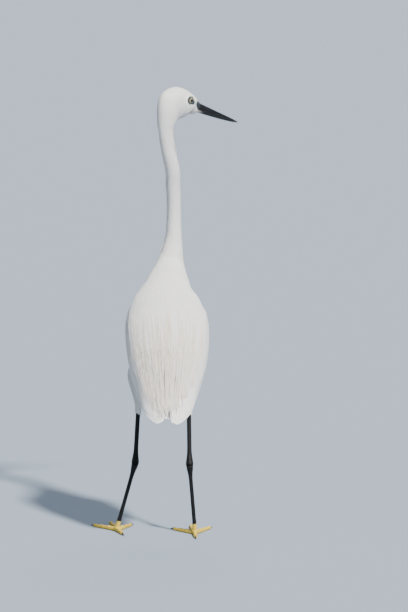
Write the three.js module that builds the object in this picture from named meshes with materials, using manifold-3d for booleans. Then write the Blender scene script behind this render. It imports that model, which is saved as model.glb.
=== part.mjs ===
// A life-size little egret, standing erect with its neck stretched up and its head turned to its right.
// Millimetres, +Z up. The bird faces -Y, so its left side is +X. Every length of the bird is a function
// of one skin surface, which runs from the base of the bill to the tip of the folded wings: feathers,
// wings and plumes are placed on that surface by station, angle round the body and height above it.
import * as THREE from "three";
import { mergeVertices } from "three/addons/utils/BufferGeometryUtils.js";
import Module from "manifold-3d";

const wasm = await Module();
wasm.setup();

// Driving dimensions, in millimetres and degrees.
const GAP = 0.3;
const DEGREE = Math.PI / 180;
const HEAD = { x: -22, forward: 67, up: 607, turn: 53, droop: 19.7 };
const THROAT_PIVOT = { along: 9.5, below: 40 };
const BILL = { base: 30, length: 76.5, depth: 13.6, width: 10.4, mouthLine: -4.2 };
const EYE = { along: 6.2, above: 0.6, side: 12, radius: 4.6 };
const WING_FLOOR = 1.6;
const VANE = { thickness: 0.5, step: 0.8, spread: 0.8, sink: 1 };

// A point from the bird's own directions: to its left, forward and up.
const place = (left, forward, up) => new THREE.Vector3(left, -forward, up);
const mix = (a, b, t) => a + (b - a) * t;
const clamp = (t, low = 0, high = 1) => Math.min(high, Math.max(low, t));
const smooth = (t) => clamp(t) ** 2 * (3 - 2 * clamp(t));

// The head's own axes: along the bill, to the head's left, and up through the crown.
const turn = HEAD.turn * DEGREE;
const droop = HEAD.droop * DEGREE;
const headAlong = place(-Math.sin(turn) * Math.cos(droop), Math.cos(turn) * Math.cos(droop), -Math.sin(droop));
const headLeft = place(Math.cos(turn), Math.sin(turn), 0);
const headUp = new THREE.Vector3().crossVectors(headAlong, headLeft);
const headCentre = place(HEAD.x, HEAD.forward, HEAD.up);
const onHead = (along, left, up) =>
  headCentre.clone().addScaledVector(headAlong, along).addScaledVector(headLeft, left).addScaledVector(headUp, up);

// Stations of the skin, from the bill's base to the wing tips. Each is a section with a centre, the
// directions of its left and its back, a half width, a reach to the back and to the front, and a skew
// that makes it wider towards the back.
const stations = [];

// The face: distance along the bill's line, height above it, depth below it, half width, skew.
for (const [along, above, below, width, skew] of [
  [30, 4, 12.2, 6.2, 0],
  [24, 6.6, 14.8, 8.8, 0.05],
  [17, 10, 17.2, 11.8, 0.12],
])
  stations.push({ centre: onHead(along, 0, 0), left: headLeft, back: headUp, width, toBack: above, toFront: below, skew });

// The cranium and nape: sections that fan round a pivot in front of the throat. Angle of the section
// from level, distances from the pivot to the throat and to the crown or nape, half width, skew.
const pivot = onHead(THROAT_PIVOT.along, 0, -THROAT_PIVOT.below);
for (const [angle, inner, outer, width, skew] of [
  [115, 17.4, 51, 13.8, 0.2],
  [100, 14.8, 55, 14.8, 0.25],
  [84, 13.6, 59, 15.2, 0.25],
  [66, 13.2, 58.8, 14.6, 0.2],
  [54, 12.4, 54.4, 13.8, 0.12],
  [42, 12.2, 47.6, 12.8, 0.06],
  [28, 12.2, 40.8, 11.6, 0.03],
  [14, 12, 36.8, 10.8, 0],
  [0, 12, 34.8, 10, 0],
]) {
  const back = place(
    Math.sin(turn) * Math.cos(angle * DEGREE),
    -Math.cos(turn) * Math.cos(angle * DEGREE),
    Math.sin(angle * DEGREE),
  );
  const centre = pivot.clone().addScaledVector(back, (inner + outer) / 2);
  const reach = (outer - inner) / 2;
  stations.push({ centre, left: headLeft, back, width, toBack: reach, toFront: reach, skew });
}

// The neck and trunk: height, forward, left, turn of the section, half width, reach to the back, to the
// front, skew. Their sections stand square to the spine.
const SPINE = [
  [536, 52, -2.8, 42, 9, 9.8, 9.4, 0],
  [510, 57, -8.8, 30, 9.7, 10.6, 10.6, 0],
  [484, 63, -10.1, 20, 9.5, 11, 11, 0],
  [458, 66, -10.9, 12, 9.5, 11.2, 11.2, 0],
  [432, 66, -10.9, 6, 9.9, 11.8, 11.8, 0],
  [404, 62, -10.2, 2, 12.4, 13, 13.6, 0],
  [378, 54, -6.4, 0, 18.4, 15.5, 19, 0],
  [351, 42, -2.8, 0, 30.4, 20, 30, 0],
  [327, 29, -0.8, 0, 39.6, 26, 41, 0.04],
  [304, 17, -1, 0, 48.4, 31, 46, 0.06],
  [280, 2, -1.8, 0, 50.4, 34, 47, 0.06],
  [249, -20, -2.4, 0, 47.4, 33, 46, 0.06],
  [226.5, -38, -2.4, 0, 42.8, 27.5, 39, 0.04],
  [204, -57, -2.4, 0, 36.2, 19, 26, 0],
  [181.5, -80, -2.4, 0, 29.5, 9.5, 11, 0],
  [165.8, -98, -2.4, 0, 22, 4.5, 4, 0],
];
const spinePoint = (row) => place(row[2], row[1], row[0]);
SPINE.forEach((row, i) => {
  const before = i ? spinePoint(SPINE[i - 1]) : stations[stations.length - 1].centre;
  const after = spinePoint(SPINE[Math.min(i + 1, SPINE.length - 1)]);
  const along = after.sub(before).normalize();
  const [, , , turned, width, toBack, toFront, skew] = row;
  const back = place(Math.sin(turned * DEGREE), -Math.cos(turned * DEGREE), 0);
  back.addScaledVector(along, -back.dot(along)).normalize();
  const left = new THREE.Vector3().crossVectors(along, back);
  stations.push({ centre: spinePoint(row), left, back, width, toBack, toFront, skew });
});

// Where the named parts of the skin begin and end, as station numbers.
const NECK_TOP = 11;
const NECK_KINK = 14;
const NECK_WAIST = 16.2;
const NECK_ROOT = 18.2;
const WING_FRONT = 19.75;
const RUMP = 25;
const LAST = stations.length - 1;

// A section between stations, by a Catmull-Rom curve through each of its values.
const catmull = (a, b, c, d, t) =>
  0.5 * (2 * b + (c - a) * t + (2 * a - 5 * b + 4 * c - d) * t * t + (3 * b - a - 3 * c + d) * t ** 3);
function section(station) {
  const i = clamp(Math.floor(station), 0, LAST - 1);
  const t = station - i;
  const near = [i - 1, i, i + 1, i + 2].map((k) => stations[clamp(k, 0, LAST)]);
  const value = (get) => catmull(...near.map(get), t);
  const vector = (key) =>
    new THREE.Vector3(value((s) => s[key].x), value((s) => s[key].y), value((s) => s[key].z));
  return {
    centre: vector("centre"),
    left: vector("left").normalize(),
    back: vector("back").normalize(),
    width: value((s) => s.width),
    toBack: value((s) => s.toBack),
    toFront: value((s) => s.toFront),
    skew: value((s) => s.skew),
  };
}

// A point of the skin. The angle is 0 along the back, 90 on the bird's left and 180 along the front.
function onSection(s, angle) {
  const c = Math.cos(angle * DEGREE);
  const across = s.width * Math.sin(angle * DEGREE) * (1 + s.skew * c);
  return s.centre
    .clone()
    .addScaledVector(s.left, across)
    .addScaledVector(s.back, c * (c > 0 ? s.toBack : s.toFront));
}
function skin(station, angle, height = 0) {
  const p = onSection(section(station), angle);
  if (!height) return p;
  const step = 0.02;
  const along = onSection(section(station + step), angle).sub(onSection(section(station - step), angle));
  const round = onSection(section(station), angle + 1).sub(onSection(section(station), angle - 1));
  return p.addScaledVector(along.cross(round).normalize(), -height);
}
// Degrees of angle that a millimetre across the skin takes up there.
const degreesPerMillimetre = (station, angle) =>
  1 / onSection(section(station), angle + 0.5).distanceTo(onSection(section(station), angle - 0.5));
// Stations that a millimetre along the spine takes up there.
const stationsPerMillimetre = (station) =>
  0.2 / section(station + 0.1).centre.distanceTo(section(station - 0.1).centre);

// Turns a geometry into a closed solid with its faces outwards.
function solid(geometry) {
  const g = geometry.clone();
  for (const name of Object.keys(g.attributes)) if (name !== "position") g.deleteAttribute(name);
  const merged = mergeVertices(g, 1e-4);
  const points = merged.attributes.position;
  const faces = [];
  for (let i = 0; i < merged.index.count; i += 3) {
    const [a, b, c] = [0, 1, 2].map((k) => merged.index.getX(i + k));
    if (a !== b && b !== c && c !== a) faces.push([a, b, c]);
  }
  const corner = (i) => new THREE.Vector3().fromBufferAttribute(points, i);
  const volume = faces.reduce((sum, [a, b, c]) => sum + corner(a).dot(corner(b).cross(corner(c))), 0);
  const turned = volume < 0 ? faces.map(([a, b, c]) => [a, c, b]) : faces;
  return new wasm.Manifold(
    new wasm.Mesh({
      numProp: 3,
      vertProperties: new Float32Array(points.array),
      triVerts: new Uint32Array(turned.flat()),
    }),
  );
}

// Moves every vertex of a geometry by a function of its old place.
function warp(geometry, move) {
  const points = geometry.attributes.position;
  for (let i = 0; i < points.count; i++) {
    const p = move(new THREE.Vector3().fromBufferAttribute(points, i));
    points.setXYZ(i, p.x, p.y, p.z);
  }
  return geometry;
}

// A closed tube along t = 0 to 1. rim(t, angle) gives its surface and axis(t) the middle of its ends.
function tube(rings, sides, rim, axis) {
  return solid(
    warp(new THREE.CylinderGeometry(1, 1, 1, sides, rings), ({ x, y, z }) => {
      const t = 0.5 - y;
      return Math.hypot(x, z) < 0.5 ? axis(t) : rim(t, Math.atan2(x, z) / DEGREE);
    }),
  );
}

// A length of the skin between two stations, as a solid that stands off it by a height.
function skinLength(from, to, rings, sides, height = 0) {
  const at = (t) => mix(from, to, t);
  return tube(rings, sides, (t, angle) => skin(at(t), angle, height), (t) => section(at(t)).centre);
}

// A closed plate from two faces over the unit square, split into triangles alike on both faces.
function plate(columns, rows, upper, lower) {
  const points = [];
  const faces = [];
  const count = (columns + 1) * (rows + 1);
  const index = (i, j) => i * (rows + 1) + j;
  for (const face of [upper, lower])
    for (let i = 0; i <= columns; i++)
      for (let j = 0; j <= rows; j++) points.push(...face(i / columns, j / rows).toArray());
  for (let i = 0; i < columns; i++)
    for (let j = 0; j < rows; j++) {
      const [a, b, c, d] = [index(i, j), index(i + 1, j), index(i + 1, j + 1), index(i, j + 1)];
      faces.push(a, b, c, a, c, d, a + count, c + count, b + count, a + count, d + count, c + count);
    }
  const wall = (a, b) => faces.push(a, b + count, b, a, a + count, b + count);
  for (let i = 0; i < columns; i++) {
    wall(index(i, 0), index(i + 1, 0));
    wall(index(i + 1, rows), index(i, rows));
  }
  for (let j = 0; j < rows; j++) {
    wall(index(0, j + 1), index(0, j));
    wall(index(columns, j), index(columns, j + 1));
  }
  const geometry = new THREE.BufferGeometry();
  geometry.setAttribute("position", new THREE.Float32BufferAttribute(points, 3));
  geometry.setIndex(faces);
  return solid(geometry);
}

const union = (solids) => solids.reduce((all, one) => all.add(one));
const largest = (made) => made.decompose().sort((a, b) => b.volume() - a.volume())[0];

// The finished model.
const egret = new THREE.Group();
const finishes = {
  plumage: { color: 0xf1efea, roughness: 0.85 },
  bill: { color: 0x17181a, roughness: 0.4 },
  leg: { color: 0x15151a, roughness: 0.5 },
  foot: { color: 0xc9a63a, roughness: 0.55 },
  claw: { color: 0x23211f, roughness: 0.4 },
  eye: { color: 0xe6d98a, roughness: 0.1 },
};
function add(name, finish, made) {
  const { numProp, numVert, vertProperties, triVerts } = largest(made).getMesh();
  const points = new Float32Array(numVert * 3);
  for (let i = 0; i < numVert; i++) points.set(vertProperties.subarray(i * numProp, i * numProp + 3), i * 3);
  const geometry = new THREE.BufferGeometry();
  geometry.setAttribute("position", new THREE.BufferAttribute(points, 3));
  geometry.setIndex(new THREE.BufferAttribute(new Uint32Array(triVerts), 1));
  geometry.computeVertexNormals();
  const mesh = new THREE.Mesh(geometry, new THREE.MeshStandardMaterial({ metalness: 0, ...finishes[finish] }));
  mesh.name = name;
  egret.add(mesh);
}

// Head, with sockets for the eyes, raised lids and the line of the mouth.
const side = (sign) => (sign > 0 ? "left" : "right");
const eyeCentre = (sign) => onHead(EYE.along, sign * EYE.side, EYE.above);
const ball = (centre, radius, turns, rings) =>
  solid(new THREE.SphereGeometry(radius, turns, rings).translate(centre.x, centre.y, centre.z));
function lid(sign) {
  const ring = new THREE.TorusGeometry(EYE.radius - 0.5, 1, 5, 14);
  const outwards = headLeft.clone().multiplyScalar(sign);
  const facing = new THREE.Quaternion().setFromUnitVectors(new THREE.Vector3(0, 0, 1), outwards);
  const at = eyeCentre(sign).addScaledVector(outwards, 2.2);
  return solid(ring.applyQuaternion(facing).translate(at.x, at.y, at.z));
}
// The mouth's line runs from the bill's base back under the lores, as a groove a little wider than a gap.
function mouthGroove(sign) {
  const reach = 20;
  const edge = (t, inset) => {
    const along = mix(BILL.base + 1, BILL.base - reach, t);
    const up = BILL.mouthLine - 1.6 * t ** 1.5;
    return [along, sign * (5.8 + 9.4 * t ** 0.8 - inset), up];
  };
  return plate(
    6,
    1,
    (t, s) => onHead(...edge(t, mix(1.6, -4, s))).addScaledVector(headUp, 0.35),
    (t, s) => onHead(...edge(t, mix(1.6, -4, s))).addScaledVector(headUp, -0.35),
  );
}
let head = skinLength(0, NECK_TOP - GAP * stationsPerMillimetre(NECK_TOP), 20, 18);
for (const sign of [1, -1]) {
  head = head.add(lid(sign));
  head = head.subtract(ball(eyeCentre(sign), EYE.radius + GAP, 14, 9));
  head = head.subtract(mouthGroove(sign));
}
add("head", "plumage", head);
for (const sign of [1, -1]) add(`eye_${side(sign)}`, "eye", ball(eyeCentre(sign), EYE.radius, 14, 9));

// The bill's two halves, with the mouth's line between them and a nostril slit on each side.
const billDepth = (t) => BILL.depth * (0.07 + 0.93 * (1 - t) ** 0.64) * (t > 0.999 ? 0.4 : 1);
const billWidth = (t) => (BILL.width / 2) * (0.07 + 0.93 * (1 - t) ** 0.75);
const mouthDrop = (t) => BILL.mouthLine - 0.4 * Math.sin(Math.PI * t);
function mandible(direction, share) {
  const start = BILL.base + GAP;
  return tube(
    9,
    12,
    (t, angle) => {
      const c = Math.cos(angle * DEGREE);
      const s = Math.sin(angle * DEGREE);
      const height = Math.max(0, c) ** 0.75 * billDepth(t) * share;
      const across = Math.sign(s) * Math.abs(s) ** 0.8 * billWidth(t);
      return onHead(mix(start, BILL.base + BILL.length * (direction > 0 ? 1 : 0.975), t), across,
        mouthDrop(t) + direction * (GAP / 2 + height));
    },
    (t) => onHead(mix(start, BILL.base + BILL.length * (direction > 0 ? 1 : 0.975), t), 0,
      mouthDrop(t) + direction * (GAP / 2 + billDepth(t) * share * 0.4)),
  );
}
const nostril = (sign) => {
  const slit = new THREE.SphereGeometry(1, 8, 5).scale(5, 0.9, 0.7);
  const axes = new THREE.Matrix4().makeBasis(headAlong, headLeft, headUp);
  axes.setPosition(onHead(BILL.base + 11, sign * (BILL.width / 2) * 0.84, BILL.mouthLine + 3));
  return solid(slit.applyMatrix4(axes));
};
add("bill_upper", "bill", mandible(1, 0.55).subtract(nostril(1)).subtract(nostril(-1)));
add("bill_lower", "bill", mandible(-1, 0.45));

// Neck and trunk, parted by thin cuts across the spine.
function partedLength(name, from, to, rings, sides) {
  add(name, "plumage", skinLength(from, to - GAP * stationsPerMillimetre(to), rings, sides));
}
partedLength("neck_upper", NECK_TOP, NECK_KINK, 6, 14);
partedLength("neck_middle", NECK_KINK, NECK_WAIST, 4, 14);
partedLength("neck_lower", NECK_WAIST, NECK_ROOT, 5, 16);
const TRUNK = { rings: 18, sides: 26 };
partedLength("torso", NECK_ROOT, RUMP, TRUNK.rings, TRUNK.sides);
// The room that wings and legs leave round the trunk.
const torsoRoom = skinLength(NECK_ROOT, RUMP, TRUNK.rings, TRUNK.sides, GAP);

// Repeats: even steps from one value to another, and a fixed variation between -1 and 1 for each piece.
const steps = (count) => Array.from({ length: count }, (_, k) => [k, count > 1 ? k / (count - 1) : 0.5]);
function varied(seed) {
  const x = Math.sin(seed * 127.1 + 11.7) * 43758.5453;
  return 2 * (x - Math.floor(x)) - 1;
}
// Half widths of a vane and of a plume along their length, as shares of the widest.
const vaneShape = (t) => mix(0.6, 1, smooth(t * 3)) * (1 - 0.86 * clamp((t - 0.7) / 0.3) ** 2.2);
const plumeShape = (t) => mix(0.7, 1, smooth(t * 4)) * mix(1, 0.09, t ** 1.4);
// A feather as a thin plate from root to tip. on(t, across, height) places it, with across from -1 to 1.
// Its root is sunk, and it slopes up towards across = 1, so that it lies over the next one.
function feather({ on, shape, slope, sink = VANE.sink, columns = 4, rows = 2 }) {
  const face = (top) => (u, v) => {
    const t = 1 - (1 - u) ** 1.35;
    const height = slope * v - sink * (1 - smooth(t * 4)) + top * mix(1, 0.6, t);
    return on(t, (2 * v - 1) * shape(t), height);
  };
  return plate(columns, rows, face(VANE.thickness), face(0));
}

// Wings: a core over the shoulder and forearm, and feathers in tiers. Along runs from the shoulder to the
// tip, and down from the middle of the back to the wing's lower edge.
const WING_TIP = { left: LAST - 0.4, right: LAST - 0.06 };
const WING_CORE = { top: 5.5, from: 0.07, to: 0.5, end: 0.56 };
const wingStation = (along, sign) => mix(WING_FRONT, WING_TIP[side(sign)], along);
const wingTopAngle = (along) => mix(9, 3.2, smooth(along * 3));
const wingLowAngle = (along) => 96 + 24 * smooth(along * 6) - 34 * smooth((along - 0.45) * 1.9);
function wingAngle(along, down) {
  const rounding = (1 - Math.abs(2 * clamp(along) - 1) ** 5) ** 0.3;
  const middle = mix(wingTopAngle(along), wingLowAngle(along), 0.5);
  const half = (wingLowAngle(along) - wingTopAngle(along)) / 2;
  return middle + half * (2 * clamp(down, 0, 1.04) - 1) * mix(0.45, 1, rounding);
}
const onWing = (sign, along, down, height) =>
  skin(wingStation(along, sign), sign * wingAngle(along, down), WING_FLOOR + height);
const wingCoreTop = (along) => {
  const { top, from, to } = WING_CORE;
  return mix(top, 0.5, clamp((along - from) / (to - from))) * mix(0.3, 1, smooth(along / from));
};
function wingCore(sign) {
  const edge = (down) => smooth(Math.min(down, 1 - down) * 7);
  const at = (u) => WING_CORE.end * u ** 1.25;
  return plate(
    11,
    9,
    (u, down) => onWing(sign, at(u), down, mix(0.5, wingCoreTop(at(u)), mix(0.15, 1, edge(down)))),
    (u, down) => onWing(sign, at(u), down, 0),
  );
}
// Tiers of wing feathers: how many, where their roots and tips lie along and down the wing, from the
// innermost to the outermost, and the height that they lie at.
const WING_TIERS = {
  primaries: { count: 3, root: [0.47, 0.5], tip: [1, 0.97], rootDown: [0.4, 0.86], tipDown: [0.3, 0.8], bed: () => 0.2 },
  secondaries: {
    count: 7,
    root: [0.33, 0.31],
    tip: [0.95, 0.86],
    rootDown: [0.07, 0.93],
    tipDown: [0.2, 0.95],
    bed: (along) => mix(1, 2.2, smooth((along - 0.5) / 0.12)),
  },
  greaterCoverts: { count: 7, root: [0.2, 0.18], tip: [0.53, 0.47], rootDown: [0.06, 0.92], tipDown: [0.1, 0.94], bed: () => 3.1 },
  medianCoverts: { count: 6, root: [0.08, 0.07], tip: [0.34, 0.29], rootDown: [0.08, 0.9], tipDown: [0.1, 0.92], bed: () => 5.2 },
};
function wingTier(sign, { count, root, tip, rootDown, tipDown, bed }) {
  const spread = VANE.spread * ((rootDown[1] - rootDown[0]) / (count - 1));
  return steps(count).map(([k, share]) => {
    const [from, to] = [mix(...root, share), mix(...tip, share) + 0.012 * varied(k + count)];
    const down = (t) => mix(mix(...rootDown, share), mix(...tipDown, share), t);
    return feather({
      shape: (t) => spread * vaneShape(t),
      slope: 2 * VANE.spread * VANE.step,
      on: (t, across, height) => {
        const along = mix(from, to, t);
        return onWing(sign, along, down(t) + across, bed(along) + height);
      },
    });
  });
}
const wing = (sign) => union([wingCore(sign), ...Object.values(WING_TIERS).flatMap((tier) => wingTier(sign, tier))]);
for (const sign of [1, -1]) add(`wing_${side(sign)}`, "plumage", wing(sign).subtract(torsoRoom));
// The greatest height of a wing above its floor.
const wingRise = (along) =>
  mix(7.4, 5.2, smooth((along - 0.3) * 12)) - 1.3 * smooth((along - 0.52) * 12) - 0.6 * smooth((along - 0.85) * 8);

// Tail: the coverts carry on the skin beyond the rump as a core, and twelve feathers fan out of it.
const TAIL = { count: 12, root: RUMP + 0.3, tip: LAST - 0.1, coreEnd: RUMP + 0.95, spread: 0.66 };
function tail() {
  const at = (t) => mix(RUMP, TAIL.coreEnd, t);
  const core = tube(
    5,
    26,
    (t, angle) => section(at(t)).centre.lerp(skin(at(t), angle), mix(1, 0.42, t ** 1.5)),
    (t) => section(at(t)).centre,
  );
  const feathers = steps(TAIL.count).map(([k, share]) => {
    const spot = 2 * share - 1;
    const half = (1.15 / (TAIL.count - 1)) * 2 * VANE.spread;
    return feather({
      shape: (t) => half * vaneShape(t),
      slope: 0,
      sink: 0,
      rows: 1,
      on: (t, across, height) => {
        const station = mix(TAIL.root, TAIL.tip - 0.16 * spot ** 2, t);
        const s = section(station);
        const reach = mix(0.5, TAIL.spread, t) * spot + Math.sign(spot) * across;
        const arch = (0.62 - 0.55 * spot ** 2) * s.toBack * mix(0.4, 1, t);
        const stack = 0.5 * (TAIL.count / 2) * (1 - Math.abs(spot)) + 0.7 * (across / half) + height;
        return s.centre.addScaledVector(s.left, reach * s.width).addScaledVector(s.back, arch * 0.5 + stack * 0.55 - 1.6);
      },
    });
  });
  return union([core, ...feathers]);
}
add("tail", "plumage", tail());

// Long plumes of the mantle, lying over both wings: a core over the shoulders and tiers of plumes.
const MANTLE = { from: 18.9, coreEnd: 22.1, thickness: 1.5 };
const mantleBed = (station, sign = 1) => {
  const along = (station - WING_FRONT) / (WING_TIP[side(sign)] - WING_FRONT);
  return GAP + 0.4 + (WING_FLOOR + wingRise(clamp(along)) + 1) * smooth((station - 18.9) * 1.5);
};
const mantleHalf = (station) => mix(42, 58, Math.sin(Math.PI * clamp((station - 18.9) / 5.6)));
function mantleCore() {
  const at = (u) => mix(MANTLE.from, MANTLE.coreEnd, u);
  const edge = (v) => smooth(Math.min(v, 1 - v) * 6);
  const face = (extra) => (u, v) =>
    skin(at(u), (2 * v - 1) * mantleHalf(at(u)) * 0.94, mantleBed(at(u)) + extra(u, v));
  return plate(8, 12, face((u, v) => MANTLE.thickness * mix(1, 0.55, u) * mix(0.4, 1, edge(v))), face(() => 0));
}
const MANTLE_TIERS = [
  { count: 13, root: 21.3, tip: [25.5, 24.4], spread: 1, close: 0.74, bed: 0 },
  { count: 9, root: 20, tip: [23.4, 22.6], spread: 0.9, close: 0.92, bed: 1.9 },
];
function mantleTier({ count, root, tip, spread, close, bed }, tier) {
  const spacing = (2 * spread * mantleHalf(root)) / (count - 1);
  return steps(count).map(([k, share]) => {
    const spot = 2 * share - 1;
    const outwards = spot < 0 ? -1 : 1;
    const end = mix(...tip, Math.abs(spot) ** 1.5) + 0.16 * varied(k + 20 * tier);
    return feather({
      shape: (t) => VANE.spread * spacing * plumeShape(t),
      slope: spot ? 2 * VANE.spread * VANE.step : 0,
      rows: 1,
      on: (t, across, height) => {
        const station = mix(root, end, t);
        const angle = spot * spread * mantleHalf(root) * mix(1, close, t) + outwards * across;
        return skin(station, angle, mantleBed(station) + bed + (spot ? 0 : 0.5) + height);
      },
    });
  });
}
add("mantle_plumes", "plumage", union([mantleCore(), ...MANTLE_TIERS.flatMap(mantleTier)]));

// Legs. Each has a feathered thigh, a bare shank down to the ankle, a tarsus and a foot.
const LEGS = {
  left: { knee: [35, 26, 248], ankle: [43.5, 6, 99], foot: [69, 18, 6], toeTurn: 10, thigh: 22 },
  right: { knee: [-31, 16, 250], ankle: [-33, -22, 101], foot: [-40.5, -8, 6], toeTurn: -6, thigh: 18 },
};
// A limb of round section along a straight line, its radius a function of the share of its length.
function limb(from, to, rings, sides, radius) {
  const along = to.clone().sub(from).normalize();
  const across = new THREE.Vector3().crossVectors(along, new THREE.Vector3(0, 1, 0)).normalize();
  const over = new THREE.Vector3().crossVectors(across, along);
  return tube(
    rings,
    sides,
    (t, angle) => {
      const [wide, deep] = radius(t);
      return from
        .clone()
        .lerp(to, t)
        .addScaledVector(across, wide * Math.sin(angle * DEGREE))
        .addScaledVector(over, deep * Math.cos(angle * DEGREE));
    },
    (t) => from.clone().lerp(to, t),
  );
}
const bump = (t, at, spread) => Math.exp(-(((t - at) / spread) ** 2));

// Toes: turn from straight ahead towards the outer side, length without the claw, and claw length.
const TOES = {
  middle: { turn: 0, length: 60, claw: 9 },
  inner: { turn: -34, length: 46, claw: 8.5 },
  outer: { turn: 31, length: 50, claw: 8 },
  hind: { turn: 184, length: 31, claw: 12 },
};
const TOE_RADIUS = { root: 3.3, tip: 2 };
const toeRadius = (t) =>
  mix(TOE_RADIUS.root, TOE_RADIUS.tip, t) + 0.45 * (bump(t, 0.36, 0.06) + bump(t, 0.66, 0.06) + bump(t, 0.93, 0.05));
// Keeps a point on or above the floor, which flattens a sole.
const soled = (p, floor = 0) => p.setZ(Math.max(p.z, floor));
function toeLine(leg, sign, toe) {
  const angle = (leg.toeTurn * sign + sign * toe.turn) * DEGREE;
  const direction = place(Math.sin(angle), Math.cos(angle), 0);
  const start = place(leg.foot[0], leg.foot[1], 0);
  return (distance, height) => start.clone().addScaledVector(direction, distance).setZ(height);
}
function toeSolid(leg, sign, toe) {
  const line = toeLine(leg, sign, toe);
  const across = line(1, 0).sub(line(0, 0)).cross(new THREE.Vector3(0, 0, 1));
  return tube(
    8,
    7,
    (t, angle) => {
      const r = toeRadius(t);
      const p = line(toe.length * t, 0.8 * r + r * Math.cos(angle * DEGREE));
      return soled(p.addScaledVector(across, r * Math.sin(angle * DEGREE)));
    },
    (t) => line(toe.length * t, 0.8 * toeRadius(t)),
  );
}
function clawSolid(leg, sign, toe) {
  const line = toeLine(leg, sign, toe);
  const across = line(1, 0).sub(line(0, 0)).cross(new THREE.Vector3(0, 0, 1));
  const centre = (t) => line(toe.length + GAP + toe.claw * t, mix(1.9, 0.55, t) + 0.9 * Math.sin(Math.PI * t));
  return tube(
    4,
    6,
    (t, angle) => {
      const r = 1.55 * (1 - t) ** 0.75 + 0.12;
      const p = centre(t).add(new THREE.Vector3(0, 0, 1.15 * r * Math.cos(angle * DEGREE)));
      return soled(p.addScaledVector(across, 0.85 * r * Math.sin(angle * DEGREE)), 0.1);
    },
    centre,
  );
}

// What the legs are cut clear of.
const wingRoom = (sign) => {
  const face = (height) => (along, down) => {
    const angle = wingAngle(along, down) + mix(0, 7, down);
    return skin(wingStation(along, sign), sign * angle, WING_FLOOR + height(along));
  };
  return plate(14, 9, face((along) => wingRise(along) + 1), face(() => -2.5));
};
// Shares of the line from knee to ankle where the feathers end, and radii of the bare leg.
const FEATHERED = 0.53;
const shankRadius = (extra) => (t) => {
  const joint = 2.2 * bump(t, 1, 0.16);
  return [3.3 + joint + extra, 3.4 + joint * 1.2 + extra];
};
const tarsusRadius = (extra) => (t) => {
  const joint = 2.2 * bump(t, 0, 0.12) + 0.7 * bump(t, 1, 0.1);
  return [2.9 + joint + extra, 3.2 + joint * 1.2 + extra];
};
for (const sign of [1, -1]) {
  const name = side(sign);
  const leg = LEGS[name];
  const [knee, ankle, foot] = [leg.knee, leg.ankle, leg.foot].map((p) => place(...p));
  const bare = (extra) => knee.clone().lerp(ankle, FEATHERED + extra / knee.distanceTo(ankle));
  const thigh = limb(knee, bare(0), 10, 14, (t) => {
    const dome = Math.sqrt(1 - clamp(1 - t / 0.3) ** 2);
    const r = mix(leg.thigh, 4.4, smooth((t - 0.1) * 1.15)) * mix(0.1, 1, dome);
    return [r, r * 1.15];
  });
  add(`thigh_${name}`, "plumage", thigh.subtract(torsoRoom).subtract(wingRoom(sign)));
  const ankleEnd = ankle.clone().addScaledVector(ankle.clone().sub(knee).normalize(), GAP);
  add(`shank_${name}`, "leg", limb(bare(GAP), ankle, 7, 9, shankRadius(0)));
  const shankRoom = limb(bare(GAP), ankleEnd, 7, 9, shankRadius(GAP));
  add(`tarsus_${name}`, "leg", limb(ankle, foot, 8, 9, tarsusRadius(0)).subtract(shankRoom));
  const footEnd = foot.clone().addScaledVector(foot.clone().sub(ankle).normalize(), GAP);
  const tarsusRoom = limb(ankle, footEnd, 8, 9, tarsusRadius(GAP));
  const pad = warp(new THREE.SphereGeometry(4.4, 10, 7), (p) => soled(p.add(place(leg.foot[0], leg.foot[1], 4.2))));
  add(`foot_${name}`, "foot", union([solid(pad), ...Object.values(TOES).map((toe) => toeSolid(leg, sign, toe))]).subtract(tarsusRoom));
  for (const [toeName, toe] of Object.entries(TOES)) add(`claw_${name}_${toeName}`, "claw", clawSolid(leg, sign, toe));
}

// The origin is the middle of the bounding box, at floor level.
const bounds = new THREE.Box3().setFromObject(egret);
const middle = bounds.getCenter(new THREE.Vector3());
egret.position.set(-middle.x, -middle.y, -bounds.min.z);

export default egret;
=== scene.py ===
"""A life-size little egret, standing erect, seen from behind with its head turned to its right.

Metres, +Z up. The bird faces -Y and its left side is +X. One skin surface runs from the base of the
bill to the tips of the folded wings, and every feather is laid on it by station, angle and height.
"""

import math

import bmesh
import bpy
import numpy as np
from mathutils import Matrix, Vector


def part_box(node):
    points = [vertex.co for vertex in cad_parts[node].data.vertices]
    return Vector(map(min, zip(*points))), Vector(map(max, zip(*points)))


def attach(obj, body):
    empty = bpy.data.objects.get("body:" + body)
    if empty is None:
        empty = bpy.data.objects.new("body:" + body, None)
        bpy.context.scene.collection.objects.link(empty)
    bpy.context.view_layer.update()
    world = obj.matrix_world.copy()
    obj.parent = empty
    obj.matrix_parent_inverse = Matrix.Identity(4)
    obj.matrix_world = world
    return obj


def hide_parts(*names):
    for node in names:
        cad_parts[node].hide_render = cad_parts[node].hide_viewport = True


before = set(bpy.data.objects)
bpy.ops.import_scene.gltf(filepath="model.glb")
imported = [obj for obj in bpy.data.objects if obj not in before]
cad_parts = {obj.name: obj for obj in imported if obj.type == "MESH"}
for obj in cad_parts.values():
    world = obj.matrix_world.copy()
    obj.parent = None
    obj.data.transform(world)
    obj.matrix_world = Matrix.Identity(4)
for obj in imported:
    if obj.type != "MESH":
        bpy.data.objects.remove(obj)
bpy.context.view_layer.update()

MM = 0.001
BODY = "root"
rng = np.random.default_rng(7)


# Directions and small helpers

def place(left, forward, up):
    """A point from the bird's own directions, in millimetres."""
    return np.array([left, -forward, up], float) * MM


def mix(a, b, t):
    return a + (b - a) * t


def smooth(t):
    t = np.clip(t, 0, 1)
    return t * t * (3 - 2 * t)


def bump(t, at, spread):
    return np.exp(-(((t - at) / spread) ** 2))


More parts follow.
